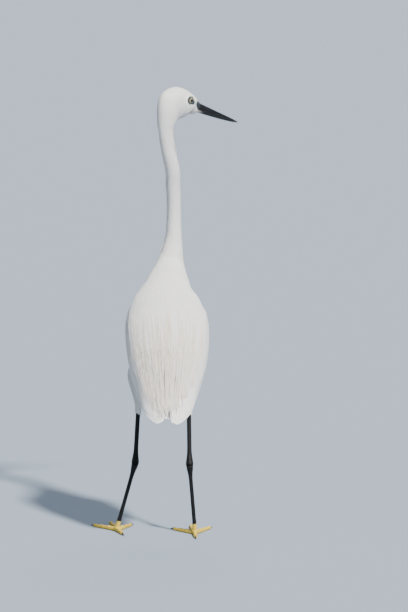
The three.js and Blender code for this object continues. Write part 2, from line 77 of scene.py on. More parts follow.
def unit(v):
    return v / np.linalg.norm(v, axis=-1, keepdims=True)


def cos(degrees):
    return np.cos(np.radians(degrees))


def sin(degrees):
    return np.sin(np.radians(degrees))


# The head's place and axes, in the design's own frame

HEAD = {"x": -22, "forward": 67, "up": 607, "turn": 53, "droop": 19.7}
THROAT_PIVOT = {"along": 9.5, "below": 40}
BILL = {"base": 30, "length": 76.5, "depth": 13.6, "width": 10.4, "mouth_line": -4.2}
EYE = {"along": 6.2, "above": 0.6, "side": 12, "radius": 4.6}
EYE_MOUND = {"height": 1.5, "reach": 4.5}

head_along = np.array([
    -sin(HEAD["turn"]) * cos(HEAD["droop"]),
    -cos(HEAD["turn"]) * cos(HEAD["droop"]),
    -sin(HEAD["droop"]),
])
head_left = np.array([cos(HEAD["turn"]), -sin(HEAD["turn"]), 0.0])
head_up = np.cross(head_along, head_left)
head_centre = place(HEAD["x"], HEAD["forward"], HEAD["up"])


def design_head(along, left, up):
    """A point from the head's own directions, in millimetres, before the origin's shift."""
    return head_centre + (along * head_along + left * head_left + up * head_up) * MM


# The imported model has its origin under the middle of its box, so the design is shifted to meet it.
eye_low, eye_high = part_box("eye_right")
design_eye = design_head(EYE["along"], -EYE["side"], EYE["above"])
SHIFT = (np.array(eye_low) + np.array(eye_high)) / 2 - design_eye


def on_head(along, left, up):
    """Points from the head's own directions, for numbers or arrays."""
    along, left, up = np.broadcast_arrays(along, left, up)
    spot = along[..., None] * head_along + left[..., None] * head_left + up[..., None] * head_up
    return head_centre + SHIFT + spot * MM


def in_head(points):
    """Along, left and up of points, in the head's own directions and in millimetres."""
    away = (points - head_centre - SHIFT) / MM
    return away @ head_along, away @ head_left, away @ head_up


# Stations of the skin: centre, left, back, half width, reach to the back and front, and skew

FACE = [  # along the bill's line, above it, below it, half width, skew
    [30, 4, 12.2, 6.2, 0],
    [24, 6.6, 14.8, 8.8, 0.05],
    [17, 10, 17.2, 11.8, 0.12],
]
CRANIUM = [  # angle of the section, distance to throat and crown, half width, skew
    [115, 17.4, 51, 13.8, 0.2],
    [100, 14.8, 55, 14.8, 0.25],
    [84, 13.6, 59, 15.2, 0.25],
    [66, 13.2, 58.8, 14.6, 0.2],
    [54, 12.4, 54.4, 13.8, 0.12],
    [42, 12.2, 47.6, 12.8, 0.06],
    [28, 12.2, 40.8, 11.6, 0.03],
    [14, 12, 36.8, 10.8, 0],
    [0, 12, 34.8, 10, 0],
]
SPINE = [  # height, forward, left, turn of the section, half width, to back, to front, skew
    [536, 52, -2.8, 42, 9, 9.8, 9.4, 0],
    [510, 57, -8.8, 30, 9.7, 10.6, 10.6, 0],
    [484, 63, -10.1, 20, 9.5, 11, 11, 0],
    [458, 66, -10.9, 12, 9.5, 11.2, 11.2, 0],
    [432, 66, -10.9, 6, 9.9, 11.8, 11.8, 0],
    [404, 62, -10.2, 2, 12.4, 13, 13.6, 0],
    [378, 54, -6.4, 0, 18.4, 15.5, 19, 0],
    [351, 42, -2.8, 0, 30.4, 20, 30, 0],
    [327, 29, -0.8, 0, 39.6, 26, 41, 0.04],
    [304, 17, -1, 0, 48.4, 31, 46, 0.06],
    [280, 2, -1.8, 0, 50.4, 34, 47, 0.06],
    [249, -20, -2.4, 0, 47.4, 33, 46, 0.06],
    [226.5, -38, -2.4, 0, 42.8, 27.5, 39, 0.04],
    [204, -57, -2.4, 0, 36.2, 19, 26, 0],
    [181.5, -80, -2.4, 0, 29.5, 9.5, 11, 0],
    [165.8, -98, -2.4, 0, 22, 4.5, 4, 0],
]
WING_FRONT = 19.75
RUMP = 25

# Where a row of the table of stations keeps each value
CENTRE, LEFT, BACK = slice(0, 3), slice(3, 6), slice(6, 9)
WIDTH, TO_BACK, TO_FRONT, SKEW = 9, 10, 11, 12


def station_row(centre, left, back, width, to_back, to_front, skew):
    return np.concatenate([centre, left, back, np.array([width, to_back, to_front]) * MM, [skew]])


def make_stations():
    """The table of the skin's stations, from the bill's base over the head and down to the tail."""
    rows = [
        station_row(design_head(along, 0, 0), head_left, head_up, width, above, below, skew)
        for along, above, below, width, skew in FACE
    ]
    pivot = design_head(THROAT_PIVOT["along"], 0, -THROAT_PIVOT["below"])
    for angle, inner, outer, width, skew in CRANIUM:
        level = place(sin(HEAD["turn"]) * cos(angle), -cos(HEAD["turn"]) * cos(angle), sin(angle)) / MM
        reach = (outer - inner) / 2
        centre = pivot + level * (inner + outer) / 2 * MM
        rows.append(station_row(centre, head_left, level, width, reach, reach, skew))
    spots = [rows[-1][:3]] + [place(row[2], row[1], row[0]) for row in SPINE]
    for i, (_, _, _, turned, width, to_back, to_front, skew) in enumerate(SPINE):
        along = unit(spots[min(i + 2, len(SPINE))] - spots[i])
        back = place(sin(turned), -cos(turned), 0) / MM
        back = unit(back - along * back.dot(along))
        left = np.cross(along, back)
        rows.append(station_row(spots[i + 1], left, back, width, to_back, to_front, skew))
    table = np.array(rows)
    table[:, :3] += SHIFT
    return table


STATIONS = make_stations()
LAST = len(STATIONS) - 1


def section(station):
    """The values of the skin's section at stations, by a Catmull-Rom curve through each of them."""
    i = np.clip(np.floor(station).astype(int), 0, LAST - 1)
    t = (station - i)[..., None]
    a, b, c, d = (STATIONS[np.clip(i + k, 0, LAST)] for k in (-1, 0, 1, 2))
    once, twice, thrice = c - a, 2 * a - 5 * b + 4 * c - d, 3 * b - a - 3 * c + d
    rows = 0.5 * (2 * b + once * t + twice * t * t + thrice * t**3)
    rows[..., LEFT] = unit(rows[..., LEFT])
    rows[..., BACK] = unit(rows[..., BACK])
    return rows


def bare_skin(station, angle):
    """Points on the skin itself."""
    s = section(station)
    c = cos(angle)
    across = s[..., WIDTH] * sin(angle) * (1 + s[..., SKEW] * c)
    back = c * np.where(c > 0, s[..., TO_BACK], s[..., TO_FRONT])
    return s[..., CENTRE] + s[..., LEFT] * across[..., None] + s[..., BACK] * back[..., None]


def skin(station, angle, height=0.0):
    """Points at a height in millimetres over the skin. Angle 0 is the back, 90 the bird's left."""
    given = [np.asarray(value, float) for value in (station, angle, height)]
    station, angle, height = np.broadcast_arrays(*given)
    near = 0.02
    along = bare_skin(station + near, angle) - bare_skin(station - near, angle)
    around = bare_skin(station, angle + 1) - bare_skin(station, angle - 1)
    out = -unit(np.cross(along, around))
    return bare_skin(station, angle) + out * (height * MM)[..., None]


def stations_per_mm(station, angle):
    """Stations that a millimetre along the skin takes up."""
    near = 0.05
    step = np.linalg.norm(bare_skin(station + near, angle) - bare_skin(station - near, angle), axis=-1)
    return 2 * near * MM / np.maximum(step, 0.15 * MM)


def degrees_per_mm(station, angle):
    """Degrees that a millimetre round the skin takes up."""
    step = np.linalg.norm(bare_skin(station, angle + 1) - bare_skin(station, angle - 1), axis=-1)
    return 2 * MM / np.maximum(step, 0.05 * MM)


# Materials: sockets as numbers and colours in expressions

class Socket:
    """A shader socket that can be used in sums, which add Math nodes."""

    def __init__(self, sheet, output):
        self.sheet = sheet
        self.output = output

    def math(self, operation, *others):
        return self.sheet.node("ShaderNodeMath", {"operation": operation}, self, *others)[0]

    def __add__(self, other):
        return self.math("ADD", other)

    def __radd__(self, other):
        return self.math("ADD", other)

    def __sub__(self, other):
        return self.math("SUBTRACT", other)

    def __rsub__(self, other):
        return self.sheet.node("ShaderNodeMath", {"operation": "SUBTRACT"}, other, self)[0]

    def __mul__(self, other):
        return self.math("MULTIPLY", other)

    def clipped(self):
        return self.sheet.node("ShaderNodeClamp", {}, self, 0.0, 1.0)[0]

    def between(self, low, high):
        """0 below low, 1 above high, and smooth between them."""
        settings = {"interpolation_type": "SMOOTHSTEP"}
        return self.sheet.node("ShaderNodeMapRange", settings, self, low, high, 0.0, 1.0)[0]

    def sine(self):
        return self.math("SINE", 0.0)

    def size(self):
        return self.math("ABSOLUTE", 0.0)


class Finish:
    """A material with one Principled shader, built from expressions."""

    def __init__(self, name, color, roughness, **fixed):
        self.material = bpy.data.materials.new(name)
        self.material.use_nodes = True
        self.tree = self.material.node_tree
        self.shader = self.tree.nodes["Principled BSDF"]
        self.shader.inputs["Base Color"].default_value = (*color, 1)
        self.shader.inputs["Roughness"].default_value = roughness
        for key, value in fixed.items():
            self.shader.inputs[key.replace("_", " ")].default_value = value
        self.material.diffuse_color = (*color, 1)

    def node(self, kind, settings, *values, **named):
        """A node of a kind: its settings first, then the values or links of its sockets."""
        node = self.tree.nodes.new(kind)
        for key, value in settings.items():
            setattr(node, key, value)
        pairs = list(zip([s for s in node.inputs if s.enabled], values))
        pairs += [(node.inputs[key.replace("_", " ")], value) for key, value in named.items()]
        for socket, value in pairs:
            self.feed(socket, value)
        return [Socket(self, output) for output in node.outputs if output.enabled]

    def feed(self, socket, value):
        if isinstance(value, Socket):
            self.tree.links.new(value.output, socket)
        elif value is not None:
            socket.default_value = (*value, 1) if socket.type == "RGBA" and len(value) == 3 else value

    def where(self):
        """Object coordinates, in metres."""
        return self.node("ShaderNodeTexCoord", {})[3]

    def axes(self, vector):
        return self.node("ShaderNodeSeparateXYZ", {}, vector)

    def map(self, name):
        return self.axes(self.node("ShaderNodeUVMap", {"uv_map": name})[0])

    def value(self, name):
        """A number that the mesh keeps for each of its points."""
        return self.node("ShaderNodeAttribute", {"attribute_name": name})[2]

    def noise(self, vector, scale, detail=3.0):
        return self.node("ShaderNodeTexNoise", {}, vector, Scale=scale, Detail=detail, Roughness=0.5)[0]

    def blend(self, share, one, other):
        """One colour where share is 0 and the other where it is 1."""
        node = self.tree.nodes.new("ShaderNodeMix")
        node.data_type = "RGBA"
        for socket, value in zip((node.inputs[0], node.inputs[6], node.inputs[7]), (share, one, other)):
            self.feed(socket, value)
        return Socket(self, node.outputs[2])

    def color(self, value):
        self.feed(self.shader.inputs["Base Color"], value)

    def roughness(self, value):
        self.feed(self.shader.inputs["Roughness"], value)

    def relief(self, height, depth, strength=1.0):
        """Bumps of a real depth in millimetres."""
        bumps = self.node("ShaderNodeBump", {}, Strength=strength, Distance=depth * MM, Height=height)
        self.feed(self.shader.inputs["Normal"], bumps[0])


# Colours, in pairs where a noise blends one into the other

WHITE = (0.90, 0.895, 0.885)
CREAM = (0.79, 0.69, 0.57)
# Painted shade: the grey that each vane's root takes on where the vane before it lies over it.
PAINTED_SHADE = (0.80, 0.81, 0.83)
LORES = ((0.42, 0.49, 0.50), (0.60, 0.62, 0.56))
FACE_BLACK = (0.022, 0.024, 0.028)
GAPE_PINK = (0.62, 0.47, 0.42)
HORN_BLACK = ((0.004, 0.004, 0.005), (0.02, 0.02, 0.022))
HORN_PALE = (0.42, 0.36, 0.33)
LEG_BLACK = ((0.002, 0.002, 0.003), (0.009, 0.009, 0.009))
FOOT_YELLOW = ((0.62, 0.43, 0.045), (0.48, 0.36, 0.07))
CLAW_HORN = ((0.015, 0.014, 0.013), (0.075, 0.066, 0.055))
IRIS = ((0.34, 0.31, 0.13), (0.42, 0.39, 0.22))
IRIS_RIM = (0.03, 0.028, 0.02)
PUPIL = (0.003, 0.003, 0.004)

# Light passes a little way through plumage.
SOFT = {
    "Specular_IOR_Level": 0.2,
    "Sheen_Roughness": 0.5,
    "Subsurface_Weight": 0.4,
    "Subsurface_Radius": (1.0, 1.0, 1.0),
    "Subsurface_Scale": 0.003,
}


def plumage_finish(name):
    """White vanes with fine barbs off a shaft, more or less cream, and greyed at their roots with painted
    shade.
    """
    made = Finish(name, WHITE, 0.75, Sheen_Weight=0.1, **SOFT)
    barbs_along, barbs_slant, barb_turn = 46, 9, 6.28
    across, along, _ = made.map("vane")
    side = (across - 0.5).size() * 2
    cloud = made.noise(made.where(), 55.0)
    tint = (made.value("tint") + (cloud - 0.5) * 0.16).clipped()
    # Painted shade: each vane greys towards its root, where it lies under the one before it.
    root = (1 - along.between(0.0, 0.5)) * 0.2
    made.color(made.blend(root, made.blend(tint, WHITE, CREAM), PAINTED_SHADE))
    barbs = ((along * barbs_along - side * barbs_slant) * barb_turn).sine() * 0.5 + 0.5
    shaft = 1 - side.between(0.0, 0.1)
    made.relief(barbs * 0.5 + shaft * 0.8, 0.06, 0.35)
    made.roughness(0.68 + cloud * 0.16)
    return made.material


def down_finish():
    """Soft white down, faintly clouded with cream."""
    made = Finish("white_down", WHITE, 0.82, Sheen_Weight=0.15, **SOFT)
    spot = made.where()
    cloud = made.noise(spot, 70.0)
    made.color(made.blend(cloud.between(0.35, 0.75) * 0.22, WHITE, CREAM))
    made.relief(made.noise(spot, 900.0, 2.0), 0.25, 0.6)
    return made.material


def face_finish():
    """The skin: white under feathers, with blue-grey lores and black at the eye and the bill."""
    made = Finish("face_skin", (0.62, 0.65, 0.66), 0.55, Specular_IOR_Level=0.35)
    spot = made.where()
    grain = made.noise(spot, 420.0)
    blotch = made.noise(spot, 150.0, 2.0)
    bare = made.value("bare")
    lores = made.blend(blotch.between(0.4, 0.7), *LORES)
    color = made.blend(bare, WHITE, lores)
    color = made.blend(made.value("dark"), color, FACE_BLACK)
    made.color(made.blend(made.value("gape"), color, GAPE_PINK))
    made.relief(grain, 0.25, 0.7)
    made.roughness(0.6 - bare * 0.15 + grain * 0.1)
    return made.material


def horn_finish():
    """Black horn with fine fibres, pale where the attribute pale says."""
    made = Finish("bill_horn", (0.01, 0.01, 0.011), 0.32, Specular_IOR_Level=0.35)
    fibres = made.noise(made.where(), 260.0)
    black = made.blend(fibres.between(0.45, 0.8), *HORN_BLACK)
    made.color(made.blend(made.value("pale"), black, HORN_PALE))
    made.roughness(0.26 + fibres * 0.2)
    made.relief(fibres, 0.15, 0.4)
    return made.material


def leg_finish():
    """Black scaly skin that turns yellow over the foot, by the attribute yellow."""
    made = Finish("leg_skin", (0.01, 0.01, 0.012), 0.5, Specular_IOR_Level=0.2)
    spot = made.where()
    grain = made.noise(spot, 300.0)
    cells = made.node("ShaderNodeTexVoronoi", {"feature": "DISTANCE_TO_EDGE"}, spot, Scale=620.0)[0]
    yellow = made.value("yellow")
    edge = yellow.between(0.02, 0.3) * (1 - yellow.between(0.7, 0.98))
    patch = (yellow + (grain - 0.5) * 0.5 * edge).clipped()
    black = made.blend(grain.between(0.4, 0.8), *LEG_BLACK)
    gold = made.blend(grain.between(0.35, 0.75), *FOOT_YELLOW)
    made.color(made.blend(patch.between(0.4, 0.6), black, gold))
    made.roughness(0.4 + grain * 0.2)
    made.relief(cells.between(0.0, 0.12), 0.3, 0.7)
    return made.material


def claw_finish():
    """Dark brown horn."""
    made = Finish("claw_horn", (0.03, 0.028, 0.026), 0.35, Specular_IOR_Level=0.5)
    fibres = made.noise(made.where(), 500.0)
    made.color(made.blend(fibres, *CLAW_HORN))
    made.roughness(0.3 + fibres * 0.2)
    return made.material


def eye_finish():
    """A dark pupil in a dull yellow iris with a dark rim, under a wet surface."""
    wet = {"Specular_IOR_Level": 0.6, "Coat_Weight": 1.0, "Coat_Roughness": 0.02}
    made = Finish("eye", (0.6, 0.55, 0.2), 0.05, **wet)
    out = made.value("from_pupil")
    rays = made.noise(made.where(), 1400.0, 2.0)
    iris = made.blend(out.between(0.5, 0.6), made.blend(rays, *IRIS), IRIS_RIM)
    made.color(made.blend(out.between(0.40, 0.44), PUPIL, iris))
    return made.material


# Meshes

def new_piece(name, points, faces, material, maps=None, values=None):
    """A piece from arrays. maps holds UV maps by corner, and values a number for each point."""
    mesh = bpy.data.meshes.new(name)
    mesh.from_pydata(np.asarray(points).reshape(-1, 3).tolist(), [], faces)
    for key, corners in (maps or {}).items():
        layer = mesh.uv_layers.new(name=key)
        layer.data.foreach_set("uv", np.asarray(corners, np.float32).ravel())
    for key, numbers in (values or {}).items():
        layer = mesh.attributes.new(key, "FLOAT", "POINT")
        layer.data.foreach_set("value", np.asarray(numbers, np.float32).ravel())
    mesh.materials.append(material)
    mesh.validate()
    mesh.shade_smooth()
    piece = bpy.data.objects.new(name, mesh)
    bpy.context.scene.collection.objects.link(piece)
    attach(piece, BODY)
    return piece


def tube_faces(rings, sides, capped=True):
    """Faces of a tube whose rings of points come one after another, with round caps as fans."""
    faces = []
    for i in range(rings - 1):
        for j in range(sides):
            k = (j + 1) % sides
            faces.append((i * sides + j, (i + 1) * sides + j, (i + 1) * sides + k, i * sides + k))
    if capped:
        faces.append(tuple(range(sides)))
        faces.append(tuple(reversed(range((rings - 1) * sides, rings * sides))))
    return faces


def shell_faces(columns, rows):
    """Faces of a closed shell: a grid of points and then a like one below it, joined at their border."""
    count = (columns + 1) * (rows + 1)
    index = np.arange(count).reshape(columns + 1, rows + 1).tolist()
    faces = []
    for i in range(columns):
        for j in range(rows):
            quad = (index[i][j], index[i + 1][j], index[i + 1][j + 1], index[i][j + 1])
            faces.append(quad)
            faces.append(tuple(q + count for q in reversed(quad)))
    border = [index[i][0] for i in range(columns)] + [index[columns][j] for j in range(rows)]
    border += [index[i][rows] for i in range(columns, 0, -1)] + [index[0][j] for j in range(rows, 0, -1)]
    for a, b in zip(border, border[1:] + border[:1]):
        faces.append((b, a, a + count, b + count))
    return faces


def outwards(faces, points):
    """Turns all the faces round if the closed mesh encloses less than nothing."""
    points = np.asarray(points).reshape(-1, 3)
    volume = 0.0
    for face in faces:
        a = points[face[0]]
        for i in range(1, len(face) - 1):
            volume += a.dot(np.cross(points[face[i]], points[face[i + 1]]))
    return faces if volume > 0 else [tuple(reversed(face)) for face in faces]


def shell_piece(name, upper, lower, material):
    """A closed shell between two grids of points."""
    faces = shell_faces(upper.shape[0] - 1, upper.shape[1] - 1)
    points = np.concatenate([upper.reshape(-1, 3), lower.reshape(-1, 3)])
    new_piece(name, points, outwards(faces, points), material)


def tube_piece(name, rings, sides, rim, material, values=None):
    """A closed tube. rim(t, angle) takes a column of shares and a row of angles in degrees."""
    t = np.linspace(0, 1, rings)[:, None]
    angle = np.linspace(0, 360, sides, endpoint=False)[None, :]
    points = rim(t, angle)
    faces = outwards(tube_faces(rings, sides), points)
    numbers = {}
    for key, get in (values or {}).items():
        numbers[key] = np.broadcast_to(get(t, angle, points), (rings, sides))
    corner = np.array([(i // sides / (rings - 1), i % sides / sides) for face in faces for i in face])
    return new_piece(name, points, faces, material, {"vane": corner}, numbers)


# Feathers: closed, thin, sharp-edged vanes with a raised shaft, many to a piece

RIM = [(-1.0, 0.0), (0.0, 1.0), (1.0, 0.0), (0.0, -1.0)]  # share across, and of the half thickness
CORNERS = len(RIM)
TUFT_PATCH = 0.003


def vane_faces(rings):
    """Faces of one feather, which has a ring of corners at each of its places along."""
    faces = []
    for i in range(rings - 1):
        ring, after = i * CORNERS, (i + 1) * CORNERS
        for j in range(CORNERS):
            k = (j + 1) % CORNERS
            faces.append((ring + j, ring + k, after + k, after + j))
    faces.append((3, 2, 1, 0))
    faces.append(tuple((rings - 1) * CORNERS + j for j in range(CORNERS)))
    return np.array(faces)


def rounded_vane(t):
    """Half width of a broad feather along its length, as a share."""
    end = np.clip((t - 0.62) / 0.385, 0, 1)
    return mix(0.45, 1, smooth(t * 2.6)) * np.sqrt(np.clip(1 - end**2.4, 0, 1))


def pointed_vane(t):
    """Half width of a lanceolate plume along its length."""
    return mix(0.5, 1, smooth(t * 3)) * np.clip(1 - t**1.7, 0, 1) ** 0.8 + 0.03


def hair_vane(t):
    """Half width of a single long barb."""
    return np.clip(1 - t**2.2, 0, 1) * 0.92 + 0.08


def for_each(values, number):
    """A value for each feather, along the first of three axes."""
    return np.broadcast_to(np.asarray(values, float), (number,))[:, None, None]


class Coat:
    """Feathers gathered for one piece. Each batch is laid by a function of two surface coordinates."""

    def __init__(self, name, material, crisp=0.2):
        self.name, self.material, self.crisp = name, material, crisp
        self.points, self.faces, self.lean = [], [], []
        self.vane, self.bake, self.tint = [], [], []
        self.count = 0

    def lay(self, on, root, tip, half, heights, rings=5, shape=rounded_vane, thick=0.5, bend=0.0,
            camber=0.0, tint=0.0, unwrap=None, ends=1.35):
        """Adds feathers. root, tip: (first, second) coordinates, arrays; half: half widths in the second
        coordinate's own unit; heights: (at the root, at the tip) in millimetres over on's surface."""
        number = len(root[0])
        first = [for_each(v, number) for v in (root[0], tip[0])]
        second = [for_each(v, number) for v in (root[1], tip[1])]
        level = [for_each(v, number) for v in heights]
        t = (1 - (1 - np.linspace(0, 1, rings)) ** ends)[None, :, None]
        u = np.array([spot for spot, _ in RIM])[None, None, :]
        raised = np.array([rise for _, rise in RIM])[None, None, :]
        a = mix(*first, t) + 0 * u
        middle = mix(*second, t) + for_each(bend, number) * np.sin(np.pi * t)
        b = middle + u * for_each(half, number) * shape(t)
        body = for_each(thick, number) / 2 * np.clip(1.15 - t, 0.15, 1) * raised
        height = mix(*level, np.sqrt(t)) + body - for_each(camber, number) * u * u * shape(t)
        points = on(a, b, height)
        self.points.append(points.reshape(-1, 3))
        self.lean.append(unit(on(a, b, height + 1.0) - points).reshape(-1, 3))
        if unwrap is None:
            unwrap = second[0].ravel() / 360, first[0].ravel() / LAST
        self.keep_maps(number, rings, t, u, unwrap, tint)

    def keep_maps(self, number, rings, t, u, unwrap, tint):
        """Keeps the faces of a batch, the two UV maps of their corners and the tints of their points."""
        quads = vane_faces(rings)
        per_vane = CORNERS * rings
        firsts = per_vane * np.arange(number)[:, None, None]
        self.faces.append((quads[None] + firsts).reshape(-1, CORNERS) + self.count)
        self.count += number * per_vane
        local = np.stack(np.broadcast_arrays((u + 1) / 2, t), -1)[0].reshape(-1, 2)
        corners = local[quads.ravel()]
        self.vane.append(np.tile(corners, (number, 1)))
        base = np.stack([np.broadcast_to(unwrap[0], (number,)) % 1, unwrap[1] * np.ones(number)], -1)
        self.bake.append((base[:, None, :] + corners[None] * TUFT_PATCH).reshape(-1, 2))
        tints = np.broadcast_to(np.asarray(tint, float), (number,))
        self.tint.append(np.repeat(tints, per_vane))

    def finish(self):
        """Makes the piece."""
        faces = np.concatenate(self.faces)
        points = np.concatenate(self.points)
        mesh = bpy.data.meshes.new(self.name)
        mesh.vertices.add(len(points))
        mesh.vertices.foreach_set("co", points.ravel())
        mesh.loops.add(faces.size)
        mesh.loops.foreach_set("vertex_index", faces.ravel())
        mesh.polygons.add(len(faces))
        mesh.polygons.foreach_set("loop_start", np.arange(0, faces.size, CORNERS))
        mesh.update()
        for key, corners in (("OFBake", self.bake), ("vane", self.vane)):
            layer = mesh.uv_layers.new(name=key)
            layer.data.foreach_set("uv", np.concatenate(corners).astype(np.float32).ravel())
        layer = mesh.attributes.new("tint", "FLOAT", "POINT")
        layer.data.foreach_set("value", np.concatenate(self.tint).astype(np.float32))
        mesh.materials.append(self.material)
        mesh.shade_smooth()
        self.soften(mesh)
        piece = bpy.data.objects.new(self.name, mesh)
        bpy.context.scene.collection.objects.link(piece)
        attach(piece, BODY)
        return piece

    def soften(self, mesh):
        """Leans the shading normals towards the body's own, so that the vanes read as one silky coat."""
        corners = np.empty(len(mesh.loops), np.int32)
        mesh.loops.foreach_get("vertex_index", corners)
        own = np.empty(len(mesh.vertices) * 3, np.float32)
        mesh.vertex_normals.foreach_get("vector", own)
        own = own.reshape(-1, 3)[corners]
        flat = np.empty(len(mesh.polygons) * 3, np.float32)
        mesh.polygons.foreach_get("normal", flat)
        flat = np.repeat(flat.reshape(-1, 3), CORNERS, axis=0)
        lean = np.concatenate(self.lean)[corners]
        facing = np.sign(np.sum(lean * flat, axis=1, keepdims=True) + 1e-9)
        mesh.normals_split_custom_set(unit(mix(lean * facing, own, self.crisp)).tolist())


def scattered(first_from, first_to, row_mm, spacing_mm, angles=(0, 360), jitter=0.3):
    """Roots on the skin in staggered rows that lie row_mm apart, spacing_mm apart round the skin."""
    probe = np.linspace(*angles, 73)
    rate_probe = np.linspace(0, 315, 8)
    spots = []
    station = first_from
    odd = 0
    while station < first_to:
        rim = bare_skin(np.full(len(probe), station), probe)
        lengths = np.concatenate([[0], np.cumsum(np.linalg.norm(np.diff(rim, axis=0), axis=1))])
        number = max(3, int(round(lengths[-1] / (spacing_mm * MM))))
        at = (np.arange(number) + 0.25 + 0.5 * odd + rng.uniform(-jitter, jitter, number)) / number
        around = np.interp(at % 1 * lengths[-1], lengths, probe)
        drift = rng.uniform(-jitter, jitter, number) * row_mm
        rate = stations_per_mm(np.full(number, station), around)
        spots.append(np.stack([station + drift * rate, around], -1))
        station += row_mm * float(np.mean(stations_per_mm(np.full(len(rate_probe), station), rate_probe)))
        odd = 1 - odd
    return np.concatenate(spots)


def sided(angle):
    """An angle as -180 to 180."""
    return (np.asarray(angle) + 180) % 360 - 180


# The body's skin. On the head, places are in millimetres along the bill's line and above it.

SKIN = {"end": 26.0, "rings": 340, "sides": 72, "under_head": 0.35, "under_trunk": 1.8}
BILL_WEDGE = {"from": 18.5, "long": 9, "middle": (0.5, -0.8), "half": (1.6, 6.2)}
EYE_RING = {"stretch": 1.2, "bare": 6.0, "dark": 5.6, "fade": 1.2}
LID = {"rings": 72, "sides": 10, "thick": 0.7, "wrinkles": 11, "out": 2.3, "inset": 0.95}


def on_face(station, angle, height=0.0):
    """Over the skin, which rises to a low mound round each eye."""
    points = skin(station, angle, height)
    along, left, up = in_head(points)
    ring = np.hypot(along - EYE["along"], up - EYE["above"])
    share = 1 - smooth((ring - EYE["radius"]) / EYE_MOUND["reach"])
    lift = np.clip(EYE["side"] + EYE_MOUND["height"] + height - np.abs(left), 0, None) * share
    lift = lift * smooth((np.abs(left) - 4) / 4)
    return points + (np.sign(left) * lift * MM)[..., None] * head_left


def bill_wedge(along, up):
    """1 on the black wedge of skin that the bill sends back under the forehead's feathers."""
    share = np.clip((along - BILL_WEDGE["from"]) / BILL_WEDGE["long"], 0, 1)
    middle, half = mix(*BILL_WEDGE["middle"], share), mix(*BILL_WEDGE["half"], share**0.8)
    return (1 - smooth((np.abs(up - middle) - half) / 0.9)) * smooth((along - BILL_WEDGE["from"]) / 1.5)


def from_eye(along, up):
    """Distance from the middle of the eye, in an oval that is longer along the bill's line."""
    return np.hypot((along - EYE["along"]) / EYE_RING["stretch"], up - EYE["above"])


def lore_mask(points):
    """1 on the bare skin from the eye to the bill, 0 elsewhere."""
    along, left, up = in_head(points)
    share = np.clip((along - EYE["along"]) / (BILL["base"] - EYE["along"]), 0, 1)
    line = mix(EYE["above"], -0.6, share)
    reach = mix(3.6, 4.2, smooth((along - EYE["along"]) / 20)) - 2.2 * bump(along, 24, 7)
    lores = (1 - smooth((np.abs(up - line) - reach + 1) / 2)) * smooth((along - 5) / 3)
    round_eye = 1 - smooth((from_eye(along, up) - EYE_RING["bare"]) / EYE_RING["fade"])
    bare = np.maximum(np.maximum(lores, round_eye), bill_wedge(along, up))
    return bare * smooth((np.abs(left) - 2.5) / 1.5)


def dark_mask(points):
    """1 round the eye, on a streak below it, on a spot before it and on the bill's wedge."""
    along, left, up = in_head(points)
    ring = 1 - smooth((from_eye(along, up) - EYE_RING["dark"]) / EYE_RING["fade"])
    streak = bump(along, EYE["along"] + 4.5, 1.8) * bump(up, EYE["above"] - 5.5, 3.6)
    spot = bump(along, EYE["along"] + 6.5, 2.4) * bump(up, EYE["above"] - 0.4, 1.2)
    marks = np.maximum(np.maximum(ring, streak * 0.9), np.maximum(spot * 0.75, bill_wedge(along, up)))
    return np.clip(marks, 0, 1) * smooth((np.abs(left) - 2.2) / 1.4)


def gape_mask(points):
    """1 at the pinkish corner of the mouth."""
    along, _, up = in_head(points)
    return bump(along, 26, 5) * bump(up, BILL["mouth_line"] - 4.6, 1.6) * 0.8


def body_skin(material):
    """The bird's own skin, in one piece from the bill's base to the tail."""
    def rim(t, angle):
        station = mix(0.0, SKIN["end"], t) + 0 * angle
        depth = mix(SKIN["under_head"], SKIN["under_trunk"], smooth((station - 12) / 8))
        return on_face(station, angle + 0 * t, -depth)

    values = {
        "bare": lambda t, angle, points: lore_mask(points),
        "dark": lambda t, angle, points: dark_mask(points),
        "gape": lambda t, angle, points: gape_mask(points),
    }
    piece = tube_piece("body_skin", SKIN["rings"], SKIN["sides"], rim, material, values)
    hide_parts("head", "neck_upper", "neck_middle", "neck_lower", "torso")


def eyes(material, lids):
    """The eyeballs, each with its ring of lids."""
    for sign, side in ((1, "left"), (-1, "right")):
        centre = on_head(EYE["along"], sign * EYE["side"], EYE["above"])
        out = head_left * sign
        ball = bmesh.new()
        bmesh.ops.create_uvsphere(ball, u_segments=40, v_segments=24, radius=EYE["radius"] * MM)
        turn = Vector((0, 0, 1)).rotation_difference(Vector(out)).to_matrix().to_4x4()
        bmesh.ops.transform(ball, matrix=Matrix.Translation(Vector(centre)) @ turn, verts=ball.verts)
        mesh = bpy.data.meshes.new(f"eyeball_{side}")
        ball.to_mesh(mesh)
        ball.free()
        spots = np.array([v.co for v in mesh.vertices]) - centre
        from_pupil = np.arccos(np.clip(unit(spots) @ out, -1, 1)) / (math.pi / 2)
        layer = mesh.attributes.new("from_pupil", "FLOAT", "POINT")
        layer.data.foreach_set("value", from_pupil.astype(np.float32))
        mesh.materials.append(material)
        mesh.shade_smooth()
        piece = bpy.data.objects.new(f"eyeball_{side}", mesh)
        bpy.context.scene.collection.objects.link(piece)
        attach(piece, BODY)
        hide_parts(f"eye_{side}")
        eyelids(side, sign, lids)


